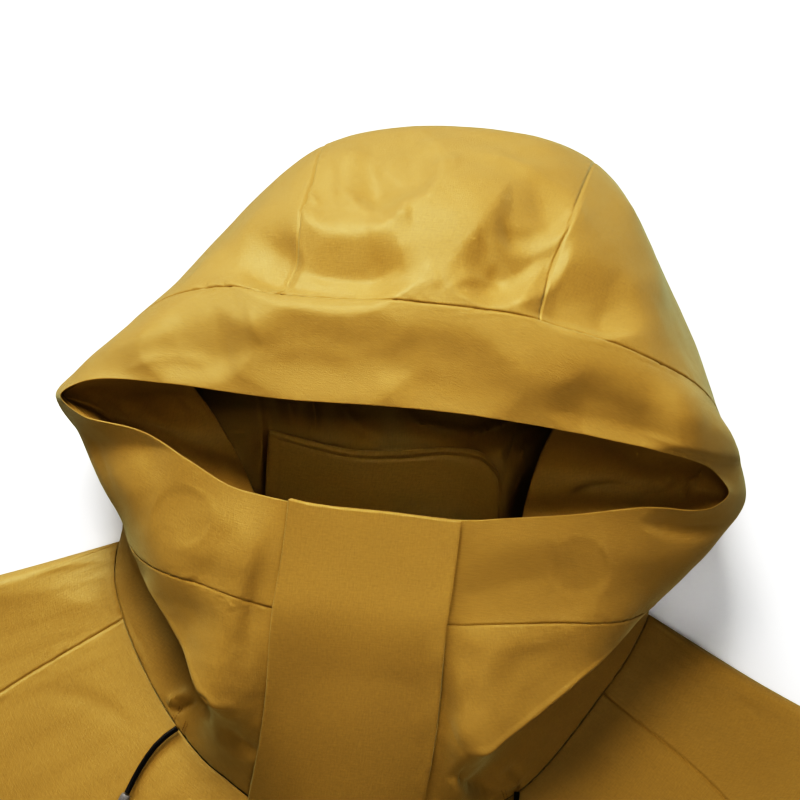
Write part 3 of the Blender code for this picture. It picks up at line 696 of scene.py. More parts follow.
def new_look(name, **values):
    """A new material with values on its shader's own sockets. Gives it, its tree and the shader."""
    look = bpy.data.materials.new(name)
    look.use_nodes = True
    shader = look.node_tree.nodes["Principled BSDF"]
    for socket, value in values.items():
        shader.inputs[socket.replace("_", " ")].default_value = value
    return look, look.node_tree, shader


def woven_group():
    """A plain weave on a UV map in metres: the sines of weft and warp over and under each other in a
    checker, and noise stretched along both. Gives the height for a bump and a shade around 1."""
    group = bpy.data.node_groups.get("woven_threads")
    if group:
        return group
    group = bpy.data.node_groups.new("woven_threads", "ShaderNodeTree")
    for socket, way, kind in (
        ("Vector", "INPUT", "Vector"),
        ("Threads per metre", "INPUT", "Float"),
        ("Height", "OUTPUT", "Float"),
        ("Shade", "OUTPUT", "Float"),
    ):
        group.interface.new_socket(socket, in_out=way, socket_type="NodeSocket" + kind)
    start = group.nodes.new("NodeGroupInput")
    end = group.nodes.new("NodeGroupOutput")
    scaled = vector_node(group, "SCALE", start.outputs["Vector"])
    link(group, start.outputs["Threads per metre"], scaled.inputs["Scale"])
    parts = group.nodes.new("ShaderNodeSeparateXYZ")
    link(group, scaled.outputs[0], parts.inputs[0])
    over = group.nodes.new("ShaderNodeTexChecker")
    over.inputs["Scale"].default_value = 1.0
    link(group, scaled.outputs[0], over.inputs["Vector"])
    threads = group.nodes.new("ShaderNodeMix")
    link(group, over.outputs["Fac"], threads.inputs["Factor"])
    for way, part in (("A", parts.outputs[0]), ("B", parts.outputs[1])):
        sine = math_node(group, "SINE", math_node(group, "MULTIPLY", part, math.pi))
        link(group, math_node(group, "ABSOLUTE", sine), threads.inputs[way])
    slub = noise_node(group, scaled.outputs[0], SLUB_SCALE, 3.0)
    streaks = []
    for stretch in STREAKS:
        stretched = vector_node(group, "MULTIPLY", scaled.outputs[0])
        stretched.inputs[1].default_value = stretch
        streaks.append(noise_node(group, stretched.outputs[0], 1.0, 1.0))
    lines = math_node(group, "ADD", *streaks)
    uneven = math_node(group, "ADD", math_node(group, "MULTIPLY", slub, SLUB_WEIGHT), lines)
    raised = math_node(group, "MULTIPLY", threads.outputs["Result"], THREAD_WEIGHT)
    link(group, math_node(group, "ADD", raised, uneven), end.inputs["Height"])
    link(group, math_node(group, "MULTIPLY_ADD", uneven, *WEAVE_SHADE), end.inputs["Shade"])
    return group


def cloth_look(name, colour, roughness, sheen):
    """Cloth: the weave's group as colour and bump, with a soft uneven tone over the whole garment and
    a sheen on the shader's own sockets."""
    look = bpy.data.materials.get(name)
    if look:
        return look
    look, tree, shader = new_look(
        name,
        Roughness=roughness,
        Sheen_Weight=sheen,
        Sheen_Roughness=SHEEN_ROUGHNESS,
        Sheen_Tint=SHEEN_TINT,
        Specular_IOR_Level=SPECULAR_LEVEL,
        Specular_Tint=SHEEN_TINT,
    )
    look.diffuse_color = (*colour, 1.0)
    place = tree.nodes.new("ShaderNodeUVMap")
    place.uv_map = "cloth"
    weave = tree.nodes.new("ShaderNodeGroup")
    weave.node_tree = woven_group()
    weave.inputs["Threads per metre"].default_value = 1 / bpy.context.scene.jacket_cloth.thread
    link(tree, place.outputs["UV"], weave.inputs["Vector"])
    where = tree.nodes.new("ShaderNodeTexCoord")
    tone = noise_node(tree, where.outputs["Object"], TONE_SCALE, 4.0)
    soft = math_node(tree, "MULTIPLY_ADD", tone, *TONE_SHADE)
    both = math_node(tree, "MULTIPLY", soft, weave.outputs["Shade"])
    tint = tree.nodes.new("ShaderNodeVectorMath")
    tint.operation = "SCALE"
    tint.inputs[0].default_value = colour
    link(tree, both, tint.inputs["Scale"])
    link(tree, tint.outputs[0], shader.inputs["Base Color"])
    bumped(tree, shader, weave.outputs["Height"], WEAVE_BUMP, WEAVE_DEPTH)
    return look


def shell_look():
    return cloth_look(SHELL_LOOK, tuple(bpy.context.scene.jacket_cloth.shell_colour), 0.50, 0.19)


def lining_look():
    return cloth_look(LINING_LOOK, tuple(bpy.context.scene.jacket_cloth.lining_colour), 0.60, 0.04)


# ---- The hood and the collar ----

# The round pressed marks: across, down and radius of each on the plan; how far the disc goes in and
# the rim comes out, in millimetres, and the rim's width on the plan
MARKS = ((181, 517, 30), (579, 569, 31))
MARK_DISC = 0.42
MARK_RIM = 0.34
MARK_RIM_WIDTH = 2.0

# Waves of the hood and collar: height and length in metres, and what is added to the seed
SHELL_WAVES = ((0.0008, 0.062, 0), (0.0003, 0.027, 7), (0.00011, 0.013, 13))
WAVE_REACH = 0.018
SEEN_SLOPE = 0.40
NECK_REACH = 0.006
LIP_WALL_SHARE = 0.30
LIP_WALL_REACH = 0.009
FLOOR_BAND = 0.0006
INSIDE_HEIGHTS = (0.004, 0.012)

# Creases on the hood and collar, on the plan: the kind, the widths of the left and right sides in plan
# units, the height in millimetres, and two or more points across and down.
SHELL_CREASES = (
    # the crown's centre panel
    ("hollow", 62, 34, -9.6, (206, 258), (286, 270), (344, 278), (430, 264)),
    ("dent", 34, 14, -2.6, (280, 258), (340, 271), (374, 272), (408, 260)),
    ("fold", 5, 7, 0.8, (398, 236), (404, 252), (403, 270)),
    ("hollow", 42, 34, -6.2, (336, 172), (392, 168), (446, 152)),
    ("hollow", 44, 34, -5.4, (290, 190), (346, 197), (410, 190)),
    ("hollow", 60, 28, -8.0, (446, 280), (502, 278), (536, 264), (570, 232)),
    ("dent", 24, 12, -1.8, (478, 272), (510, 273), (546, 252)),
    ("dent", 10, 12, -0.8, (494, 258), (499, 272), (508, 288)),
    ("hollow", 44, 26, -5.2, (486, 226), (532, 222), (576, 200)),
    ("fold", 4, 7, 1.3, (391, 216), (400, 211), (412, 208)),
    ("fold", 6, 6, 0.8, (428, 162), (445, 160), (464, 159)),
    ("fold", 5, 6, 1.0, (329, 178), (342, 185), (358, 191)),
    ("fold", 7, 10, 1.8, (514, 306), (536, 278), (554, 254)),
    ("fold", 7, 7, 1.0, (444, 292), (462, 280), (486, 272)),
    ("fold", 6, 7, 0.9, (456, 268), (474, 276), (496, 276)),
    ("fold", 6, 6, 0.9, (420, 262), (432, 274), (440, 290)),
    ("dent", 12, 12, 1.4, (470, 150), (510, 160), (556, 182)),
    # the side panels
    ("fold", 4, 5, 1.2, (298, 184), (308, 190), (318, 200)),
    ("dent", 20, 30, 1.6, (280, 196), (232, 240), (182, 284)),
    ("hollow", 26, 30, -4.2, (286, 222), (266, 258), (250, 292)),
    ("fold", 8, 26, 4.0, (600, 166), (625, 210), (650, 262), (680, 326)),
    ("hollow", 52, 22, -6.4, (520, 306), (576, 312), (644, 328)),
    ("fold", 5, 8, 1.6, (556, 240), (572, 226), (594, 214)),
    ("fold", 4, 5, 1.4, (566, 220), (575, 213), (586, 206)),
    # the band over the face opening
    ("hollow", 40, 36, -4.6, (136, 342), (198, 348), (256, 342)),
    ("hollow", 50, 44, -6.0, (228, 352), (300, 356), (350, 358), (430, 352)),
    ("hollow", 48, 44, -3.6, (370, 368), (440, 372), (530, 386)),
    ("fold", 8, 8, 1.0, (246, 300), (252, 322), (262, 346)),
    ("fold", 7, 12, 1.2, (120, 372), (160, 358), (214, 366)),
    ("fold", 8, 8, 0.8, (470, 330), (500, 350), (512, 372)),
    ("hollow", 52, 22, -4.8, (540, 406), (606, 420), (690, 436)),
    ("fold", 26, 12, 4.2, (640, 436), (696, 446), (748, 462)),
    # the cheeks and the collar's front
    ("dent", 30, 90, -5.0, (48, 448), (112, 450), (184, 452)),
    ("dent", 30, 34, -1.2, (240, 512), (216, 556), (198, 596)),
    ("hollow", 52, 44, -3.4, (436, 614), (500, 606), (560, 590), (612, 564)),
    ("dent", 26, 9, -4.0, (634, 522), (688, 534), (738, 524)),
    ("hollow", 40, 50, -1.2, (484, 706), (530, 672), (590, 644)),
    # the tucks by the cords
    ("fold", 4, 6, 3.2, (163, 707), (176, 698), (192, 688)),
    ("dent", 7, 6, -3.4, (199, 692), (203, 706), (209, 722)),
    ("dent", 8, 7, -2.4, (168, 716), (184, 706), (198, 700)),
    ("dent", 26, 12, -3.6, (214, 724), (238, 744), (264, 756)),
    ("dent", 10, 12, -2.4, (500, 786), (510, 774), (522, 764)),
    ("dent", 26, 10, -4.6, (444, 776), (472, 786), (506, 792)),
    ("fold", 6, 8, 2.2, (504, 772), (511, 780), (518, 788)),
)

# Folds of the hood's back where it lies on the floor, seen through the face opening
INSIDE_CREASES = (
    ("fold", 6, 10, 6.0, (282, 366), (288, 400), (298, 432)),
    ("fold", 5, 8, 5.0, (306, 380), (314, 404), (318, 434)),
    ("fold", 7, 10, 5.0, (336, 396), (352, 420), (384, 442)),
    ("fold", 6, 10, 5.0, (250, 372), (262, 420), (262, 480)),
    ("fold", 8, 14, 8.0, (440, 442), (490, 430), (540, 404)),
    ("fold", 7, 12, 8.0, (500, 456), (528, 446), (560, 420)),
    ("fold", 7, 12, 7.0, (508, 504), (522, 474), (552, 450)),
    ("fold", 6, 9, 4.5, (396, 400), (420, 424), (470, 432)),
)
FACING_CREASES = (
    ("fold", 3, 9, 3.0, (190, 392), (218, 402), (248, 422)),
    ("fold", 3, 7, 2.0, (176, 396), (206, 414), (232, 438)),
    ("dent", 3, 4, -1.6, (704, 462), (698, 478), (690, 484), (686, 496), (678, 508)),
    ("fold", 4, 9, 2.2, (640, 500), (660, 488), (676, 474)),
    ("fold", 5, 9, 2.4, (560, 500), (600, 486), (650, 484)),
)


def marks_height(places):
    """The round pressed marks: an eased shallow disc and a bell-shaped rim round it, in millimetres."""
    height = np.zeros(places.shape[:-1])
    for across, down, radius in MARKS:
        away = np.hypot(places[..., 0] - across, places[..., 1] - down)
        height -= MARK_DISC * eased(radius - away, -1.5, 2.5)
        height += MARK_RIM * np.exp(-(((away - radius) / MARK_RIM_WIDTH) ** 2))
    return height


def shell_piece(sections, levels, sides, seed, flush="", lip=False):
    """A piece of the hood or collar: the shell at these parameters, moved along its normals by its
    creases, soft waves and seams, less where it faces down. The piece with the lip has the marks and a
    thin folded edge. Gives the outer and inner grids and the edge runs."""
    cloth = bpy.context.scene.jacket_cloth
    base = shell(sections, levels)
    out = shell_normals(sections, levels)
    runs = edge_runs(base)
    places = to_plan(base)
    seen = eased(out[..., 2], 0.0, SEEN_SLOPE)
    height = creased(places, SHELL_CREASES) * seen / 1000.0 * cloth.crease_strength
    if not lip:
        height = height * eased(runs["b"], 0.0, NECK_REACH)
    soft = sum(size * waves(base, length, seed + shift) for size, length, shift in SHELL_WAVES)
    height += soft * free_of(runs, "tblr", WAVE_REACH) * (0.3 + 0.7 * seen)
    wall = wall_depth(base, cloth.wall)
    if lip:
        height += marks_height(places) * seen / 1000.0
        folded = eased(runs["t"], 0.0, LIP_WALL_REACH)[..., None]
        wall = wall * (LIP_WALL_SHARE + (1 - LIP_WALL_SHARE) * folded)
    height += seam_dip(base, runs, sides, seed, flush) * (0.35 + 0.65 * seen)
    outer = base + out * height[..., None]
    outer[..., 2] = np.maximum(outer[..., 2], 0.0)
    inner = outer - out * wall
    outer[..., 2] = np.where(base[..., 2] < FLOOR_BAND, base[..., 2], outer[..., 2])
    low, high = INSIDE_HEIGHTS
    lying = eased(high - base[..., 2], 0.0, high - low) * (levels[:, None] > FOLD)
    inner[..., 2] = np.maximum(inner[..., 2], LAYER_GAP)
    inner[..., 2] += creased(to_plan(inner), INSIDE_CREASES) * lying / 1000.0 * cloth.crease_strength
    return outer, inner, runs


def add_panel(node, start, end, columns, rows, seed, held, marks=(), flush=""):
    """A sewn piece of the hood or collar between two sections, from the band's seam to the neck."""
    sections = graded_sections(start, end, FACE, columns)
    levels = graded_levels(SEAM, NECK, (start + end) / 2, rows, marks)
    add_cloth(node, *shell_piece(sections, levels, "tblr", seed, flush), shell_look(), held=held)


class JACKET_OT_hood(bpy.types.Operator):
    """The hood's three panels and the band round the face opening"""

    bl_idname = "jacket.hood"
    bl_label = "Make the hood"

    def execute(self, context):
        left, right = section("crown_seam_left"), section("crown_seam_right")
        turned = left + len(PLACES)
        add_panel("hood_centre", left, right, 150, 240, 11, "laid")
        add_panel("hood_side_right", right, section("cheek_12"), 150, 110, 12, "laid")
        add_panel("hood_side_left", section("cheek_23"), turned, 150, 110, 13, "laid")
        start = section("front_centre")
        sections = graded_sections(start, start + len(PLACES), SEAM / 2, 620)
        levels = graded_levels(LIP, SEAM, section("brim_3"), 44)
        band = shell_piece(sections, levels, "b", 14, lip=True)
        add_cloth("hood_band", *band, shell_look(), "t", held="folded")
        return {"FINISHED"}


class JACKET_OT_collar(bpy.types.Operator):
    """The two collar pieces under the band"""

    bl_idname = "jacket.collar"
    bl_label = "Make the collar"

    def execute(self, context):
        for node, first, last, seed in (
            ("collar_right", "cheek_12", "front_centre", 21),
            ("collar_left", "front_centre", "cheek_23", 22),
        ):
            add_panel(node, section(first), section(last), 165, 142, seed, "folded", [FACE], "t")
        return {"FINISHED"}


# ---- The body ----


def neck_line():
    """Points along the front of the neck seam, from the right shoulder to the left."""
    params = section_at(np.arange(start_column("cheek_12"), start_column("cheek_23") + 1))
    return spaced(shell(params, [NECK])[0], NECK_POINTS)


def chest_height(points, neck):
    """The height of the top layer: the laid height, and near the front of the neck seam as much more
    as the nearest point of the seam stands above it, fading with distance."""
    flat = points.reshape(-1, 3)
    apart = np.linalg.norm(flat[:, None, :2] - neck[None, :, :2], axis=2)
    near = apart.argmin(axis=1)
    lift = np.maximum(neck[near, 2] - LAID_HEIGHT, 0.0)
    fade = np.exp(-((apart.min(axis=1) / CHEST_REACH) ** CHEST_FADE))
    return (LAID_HEIGHT + lift * fade).reshape(points.shape[:-1])


def neck_edge(first, last, shares):
    """The neck seam between two sections of the solids' grid, at shares of their columns."""
    start, end = start_column(first), start_column(last)
    if end <= start:
        end += COLUMN_STARTS[-1]
    return shell(section_at(start + (end - start) * np.asarray(shares)), [NECK])[0]


def on_side(side, *points):
    """Points of the right half on the floor, on the side whose sign is given."""
    return [(side * x, y, 0.0) for x, y in points]


def flattened(line):
    """A line dropped to the floor."""
    return line * (1.0, 1.0, 0.0)


def seam_rows(lower_rows, rows):
    """Shares of the raglan and of the line under it for rows that count as the solids' rows do."""
    at = graded(rows, 0.55) * (RAGLAN_ROWS + lower_rows)
    return at, at[at <= RAGLAN_ROWS] / RAGLAN_ROWS, (at[at > RAGLAN_ROWS] - RAGLAN_ROWS) / lower_rows


def raglan(start, middle, side, shares):
    """A raglan seam on the floor: a smooth line from the neck through middle points to the underarm."""
    knots = [(start[0], start[1], 0.0), *on_side(side, *middle, UNDERARM)]
    return at_shares(smooth_line(knots, LINE_STEPS), shares)


def side_seam(side, shares):
    """A side seam: a smooth line from the underarm to the hem, drawn in a little at the waist."""
    waist = (HEM_HALF - SIDE_SEAM_BULGE, (UNDERARM[1] + HEM_Y) / 2)
    knots = on_side(side, UNDERARM, waist, (HEM_HALF, HEM_Y))
    return at_shares(smooth_line(knots, LINE_STEPS), shares)


def patch(top, bottom, left, right, u, v):
    """A grid between four lines at shares u and v: the blend of the two pairs of sides less the
    blend of the corners."""
    u, v = u[None, :, None], v[:, None, None]
    pairs = (1 - v) * top[None] + v * bottom[None] + (1 - u) * left[:, None] + u * right[:, None]
    upper = (1 - u) * top[0] + u * top[-1]
    lower = (1 - u) * bottom[0] + u * bottom[-1]
    return pairs - (1 - v) * upper - v * lower


# Creases of the body and sleeves, in metres on the floor but for the height, which is in millimetres
BODY_CREASES = (
    ("dent", 0.012, 0.020, -1.0, (0.215, -0.235), (0.262, -0.275), (0.285, -0.330)),
    ("fold", 0.010, 0.018, 1.1, (0.225, -0.285), (0.270, -0.345)),
    ("dent", 0.020, 0.012, -0.9, (0.150, -0.420), (0.230, -0.455), (0.282, -0.452)),
    ("fold", 0.010, 0.018, 1.0, (0.130, -0.470), (0.205, -0.505), (0.276, -0.520)),
    ("dent", 0.018, 0.012, -0.8, (0.110, -0.590), (0.190, -0.610), (0.280, -0.640)),
    ("dent", 0.012, 0.020, -1.0, (-0.205, -0.225), (-0.255, -0.285), (-0.280, -0.350)),
    ("fold", 0.018, 0.010, 1.1, (-0.190, -0.300), (-0.240, -0.330), (-0.282, -0.395)),
    ("dent", 0.012, 0.020, -0.9, (-0.120, -0.500), (-0.200, -0.480), (-0.280, -0.500)),
    ("fold", 0.010, 0.016, 0.9, (-0.100, -0.560), (-0.190, -0.552), (-0.276, -0.590)),
    ("dent", 0.018, 0.012, -0.9, (-0.120, -0.650), (-0.210, -0.668), (-0.280, -0.700)),
    ("fold", 0.014, 0.010, 0.8, (0.090, -0.300), (0.120, -0.380), (0.105, -0.460)),
    ("fold", 0.010, 0.014, 0.8, (-0.090, -0.350), (-0.110, -0.420), (-0.095, -0.500)),
    ("fold", 0.016, 0.010, 0.9, (0.300, -0.130), (0.335, -0.190), (0.345, -0.260)),
    ("dent", 0.012, 0.020, -1.2, (0.470, -0.300), (0.430, -0.330), (0.380, -0.350)),
    ("fold", 0.010, 0.016, 1.2, (0.500, -0.340), (0.450, -0.375), (0.400, -0.385)),
    ("dent", 0.016, 0.012, -1.1, (0.505, -0.400), (0.455, -0.420), (0.425, -0.440)),
    ("fold", 0.010, 0.014, 0.9, (0.560, -0.500), (0.520, -0.510), (0.470, -0.540)),
    ("fold", 0.016, 0.010, 0.9, (-0.290, -0.130), (-0.320, -0.180), (-0.325, -0.250)),
    ("dent", 0.012, 0.020, -1.2, (-0.460, -0.270), (-0.410, -0.310), (-0.360, -0.320)),
    ("fold", 0.010, 0.016, 1.2, (-0.485, -0.330), (-0.430, -0.350), (-0.390, -0.370)),
    ("dent", 0.018, 0.012, -1.1, (-0.520, -0.410), (-0.470, -0.440), (-0.430, -0.430)),
    ("fold", 0.010, 0.014, 0.9, (-0.555, -0.480), (-0.510, -0.510), (-0.470, -0.530)),
)

# Creases of the shoulders and fronts by the collar, on the plan as in SHELL_CREASES
SHOULDER_CREASES = (
    ("fold", 14, 20, 1.2, (40, 590), (75, 602), (112, 604)),
    ("dent", 16, 22, -0.8, (30, 690), (90, 700), (140, 730)),
    ("dent", 14, 18, -0.8, (690, 690), (730, 700), (790, 740)),
)



# Waves of the laid top layer: height and length in metres, and what is added to the seed
LAID_WAVES = ((0.00045, 0.11, 0), (0.0002, 0.045, 3))


def top_layer_height(points, runs, seed):
    """The creases and waves of a laid top layer, in metres, eased off at its sewn edges."""
    strength = bpy.context.scene.jacket_cloth.crease_strength
    height = creased(points[..., :2], BODY_CREASES) + creased(to_plan(points), SHOULDER_CREASES)
    soft = sum(size * waves(points, length, seed + shift) for size, length, shift in LAID_WAVES)
    return (height * strength / 1000.0 + soft) * free_of(runs, "tlr", EDGE_FREE)


def front_grid(side, first, last, columns, rows):
    """A front panel's face: a patch between its part of the neck seam, the hem, the centre front and
    the raglan and side seam, raised by the chest's height."""
    u = graded(columns)
    edge = neck_edge(first, last, u if side < 0 else 1 - u)
    at, raglan_shares, side_shares = seam_rows(SIDE_ROWS, rows)
    upper_seam = raglan(edge[-1], RAGLAN_FRONT, side, raglan_shares)
    seam = np.concatenate([upper_seam, side_seam(side, side_shares)])
    hem_centre = np.array([edge[0, 0], HEM_Y, 0.0])
    v = at / at[-1]
    centre = flattened(edge[0]) + (hem_centre - flattened(edge[0])) * v[:, None] ** FLAP_SPREAD
    bottom = hem_centre + (seam[-1] - hem_centre) * u[:, None]
    face = patch(flattened(edge), bottom, centre, seam, u, v)
    neck = neck_line()
    face[..., 2] = chest_height(face, neck)
    from_seam = np.linalg.norm(face[..., :2] - face[:, -1:, :2], axis=2)
    below = np.clip((UNDERARM[1] - face[..., 1]) / SIDE_EDGE_START, 0.0, 1.0)
    face[..., 2] -= (LAID_HEIGHT - EDGE_HEIGHT) * below * np.exp(-((from_seam / EDGE_REACH) ** 2))
    join = 1 - eased(at, 0.0, 0.6)
    face[..., 2] += (edge[:, 2] - face[0, :, 2])[None] * join[:, None]
    return face if side < 0 else face[:, ::-1]


def back_grid(columns, rows):
    """The back's face on the floor: a patch between the back neck, the hem and both side lines."""
    u = graded(columns)
    edge = neck_edge("brim_1", "brim_9", u)
    at, raglan_shares, side_shares = seam_rows(SIDE_ROWS, rows)
    left, right = (
        np.concatenate([raglan(end, RAGLAN_BACK, side, raglan_shares), side_seam(side, side_shares)])
        for end, side in ((edge[0], -1), (edge[-1], 1))
    )
    bottom = left[-1] + (right[-1] - left[-1]) * u[:, None]
    return patch(flattened(edge), bottom, left, right, u, at / at[-1])


def round_share(apart, radius):
    """How far up the round of a fold a layer is at a distance from it: 0 at the fold, 1 past it."""
    return np.sqrt(1 - (1 - np.clip(apart / radius, 0.0, 1.0)) ** 2)


def sleeve_grid(side, columns, rows):
    """A raglan sleeve laid flat, whose rows run from the front seam over the outer fold to the back
    seam: straight between the seams and the fold on the plan, at the chest's height above and round
    the fold to the floor below. Gives the face and the column of the fold."""
    upper_shares = 1 - (1 - graded(columns, 0.8)) ** SLEEVE_GRADE
    lower_shares = graded(columns // 2, 0.8) ** SLEEVE_GRADE
    if side > 0:
        upper_edge = neck_edge("cheek_12", "raglan_right", 1 - upper_shares)
        lower_edge = neck_edge("brim_9", "cheek_12", 1 - lower_shares)
    else:
        upper_edge = neck_edge("raglan_left", "cheek_23", upper_shares)
        lower_edge = neck_edge("cheek_23", "brim_1", lower_shares)
    edge = np.concatenate([upper_edge, lower_edge[1:]])
    fold_at = len(upper_edge) - 1
    at, raglan_shares, arm_shares = seam_rows(ARM_ROWS, rows)
    underarm, inner_cuff = (np.array(p) for p in on_side(side, UNDERARM, CUFF_INNER))
    arm = underarm + (inner_cuff - underarm) * arm_shares[:, None]
    starts = np.concatenate([raglan(edge[0], RAGLAN_FRONT, side, raglan_shares), arm])
    ends = np.concatenate([raglan(edge[-1], RAGLAN_BACK, side, raglan_shares), arm])
    shoulder = [flattened(edge[fold_at]), *on_side(side, *SHOULDER_LINE, BICEPS_OUTER)]
    biceps, outer_cuff = (np.array(p) for p in on_side(side, BICEPS_OUTER, CUFF_OUTER))
    folds = np.concatenate(
        [
            at_shares(smooth_line(shoulder, LINE_STEPS), raglan_shares),
            biceps + (outer_cuff - biceps) * arm_shares[:, None],
        ]
    )
    laid = LAID_HEIGHT / 2
    radius = laid + (edge[fold_at, 2] - laid) * np.exp(-((at / FOLD_FADE) ** 2))
    upper = starts[:, None] + (folds - starts)[:, None] * upper_shares[None, :, None]
    lower = folds[:, None] + (ends - folds)[:, None] * lower_shares[None, 1:, None]
    neck = neck_line()
    apart = np.linalg.norm(upper - folds[:, None], axis=2)
    swell = 2 * (radius - laid)[:, None] * np.exp(-((apart / EDGE_REACH) ** 2))
    top = chest_height(upper, neck) + swell
    upper[..., 2] = radius[:, None] + (top - radius[:, None]) * round_share(apart, radius[:, None])
    drop = (LAID_HEIGHT - EDGE_HEIGHT) * np.clip((at - RAGLAN_ROWS + 1) / 2, 0, 1)
    from_seam = np.linalg.norm(upper - starts[:, None], axis=2)
    upper[..., 2] -= drop[:, None] * np.exp(-((from_seam / EDGE_REACH) ** 2))
    below = np.linalg.norm(lower - folds[:, None], axis=2)
    lower[..., 2] = radius[:, None] * (1 - round_share(below, radius[:, None]))
    face = np.concatenate([upper, lower], axis=1)
    join = 1 - eased(at, 0.0, 1.2)
    face += (edge - face[0])[None] * join[:, None, None]
    face[..., 2] = np.maximum(face[..., 2], 0.0)
    return face, fold_at


class JACKET_OT_body(bpy.types.Operator):
    """The back, the two fronts and the raglan sleeves"""

    bl_idname = "jacket.body"
    bl_label = "Make the body"

    def execute(self, context):
        cloth = context.scene.jacket_cloth
        look = shell_look()
        fronts = (
            (1, "front_right", "raglan_right", "front_centre", 31),
            (-1, "front_left", "front_centre", "raglan_left", 32),
        )
        for side, node, first, last, seed in fronts:
            base = front_grid(side, first, last, 88, 136)
            runs = edge_runs(base)
            beside_flap = eased(np.abs(base[..., 0]), *BESIDE_FLAP)
            outer = base.copy()
            outer[..., 2] += top_layer_height(base, runs, seed) * beside_flap
            outer[..., 2] += seam_dip(base, runs, "tr" if side < 0 else "tl", seed, "t")
            inner = outer - (0.0, 0.0, cloth.wall)
            add_cloth(node, outer, inner, runs, look, "b", rests_on=["back"])
        for side, node, seed in ((1, "sleeve_right", 33), (-1, "sleeve_left", 34)):
            base, fold_at = sleeve_grid(side, 84, 106)
            runs = edge_runs(base)
            past_fold = np.arange(base.shape[1]) - fold_at
            height = top_layer_height(base, runs, seed) * eased(-past_fold, 2, 16)
            height += seam_dip(base, runs, "tl", seed) * (past_fold < 0)
            outer = base.copy()
            outer[..., 2] = np.maximum(outer[..., 2] + height, 0.0)
            depth = wall_depth(base, cloth.wall)[..., 0]
            inner = outer.copy()
            turn = np.clip(past_fold / FOLD_COLUMNS, -1, 1)
            inner[..., 2] += depth * np.sin(turn * math.pi / 2)
            inward = unit(flattened(base[:, :1] - base[:, fold_at : fold_at + 1]))
            inner += inward * (depth * np.cos(turn * math.pi / 2))[..., None]
            if side > 0:
                outer, inner = outer[:, ::-1], inner[:, ::-1]
                runs = edge_runs(base[:, ::-1])
            add_cloth(node, outer, inner, runs, look, "b", held="folded")
        outer = back_grid(70, 100)[:, ::-1]
        add_cloth("back", outer, outer + (0.0, 0.0, cloth.wall), edge_runs(outer), look, "b")
        return {"FINISHED"}


# The flap below the neck: its rows. Its free edge's corner at the lip stands up and is drawn over by
# FLAP_CORNER and fades over FLAP_CORNER_REACH; waves and puckers are height and length in metres.
FLAP_ROWS = 130
FLAP_CORNER = 0.0022
FLAP_CORNER_REACH = 0.012
FLAP_WAVE = (0.0005, 0.06)
FLAP_PUCKER = (0.0005, 0.02)
FLAP_PUCKER_PLACE = 0.006


class JACKET_OT_storm_flap(bpy.types.Operator):
    """The plain flap over the front closure, from the lip of the collar to the hem"""

    bl_idname = "jacket.storm_flap"
    bl_label = "Make the storm flap"

    def execute(self, context):
        cloth = context.scene.jacket_cloth
        first, last = section("flap_right"), section("flap_left")
        sections = graded_sections(first, last, FACE, 64)
        levels = graded_levels(LIP, NECK, (first + last) / 2, 170)
        upper = shell(sections, levels)
        share = np.linspace(0, 1, FLAP_ROWS + 1)[1:]
        lower = np.repeat(flattened(upper[-1])[None], len(share), axis=0)
        lower[..., 1] += (HEM_Y - lower[..., 1]) * share[:, None] ** FLAP_SPREAD
        lower[..., 2] = chest_height(lower, neck_line()) + FLAP_LIFT * eased(share, 0.0, 0.05)[:, None]
        base = np.concatenate([upper, lower])
        out = grid_normals(base)
        runs = edge_runs(base)
        free = eased(np.minimum(runs["l"], runs["r"]), 0.0, 0.02) * eased(runs["t"], 0.0, 0.03)
        soft = np.abs(waves(base, FLAP_WAVE[1], 41)) * FLAP_WAVE[0] * free
        beside = np.exp(-((runs["l"] - FLAP_PUCKER_PLACE) / FLAP_PUCKER_PLACE) ** 2)
        pucker = np.maximum(waves(base, FLAP_PUCKER[1], 42), 0) * FLAP_PUCKER[0] * beside
        raised = FLAP_CORNER * np.exp(-((runs["r"] + runs["t"]) / FLAP_CORNER_REACH))
        lift = (soft + pucker + raised + FLAP_GAP)[..., None]
        dip = seam_dip(base, runs, "l", 43) * 0.5
        base = base + raised[..., None] * (-math.sin(PLAN_TURN), math.cos(PLAN_TURN), 0.0)
        outer = base + out * (lift + cloth.flap_wall + dip[..., None])
        inner = base + out * lift
        fronts = ["front_left", "front_right"]
        add_cloth("storm_flap", outer, inner, runs, shell_look(), "tbr", rests_on=fronts)
        return {"FINISHED"}


# ---- Inside the mouth ----


FACING_SLICES = 70
FACING_STEPS = 56

# The neck panel's hem: height, distance from the edge and width of its ridge and of the groove by it
PANEL_HEM = ((0.0008, 0.0012, 0.0009), (-0.0006, 0.0031, 0.0007))


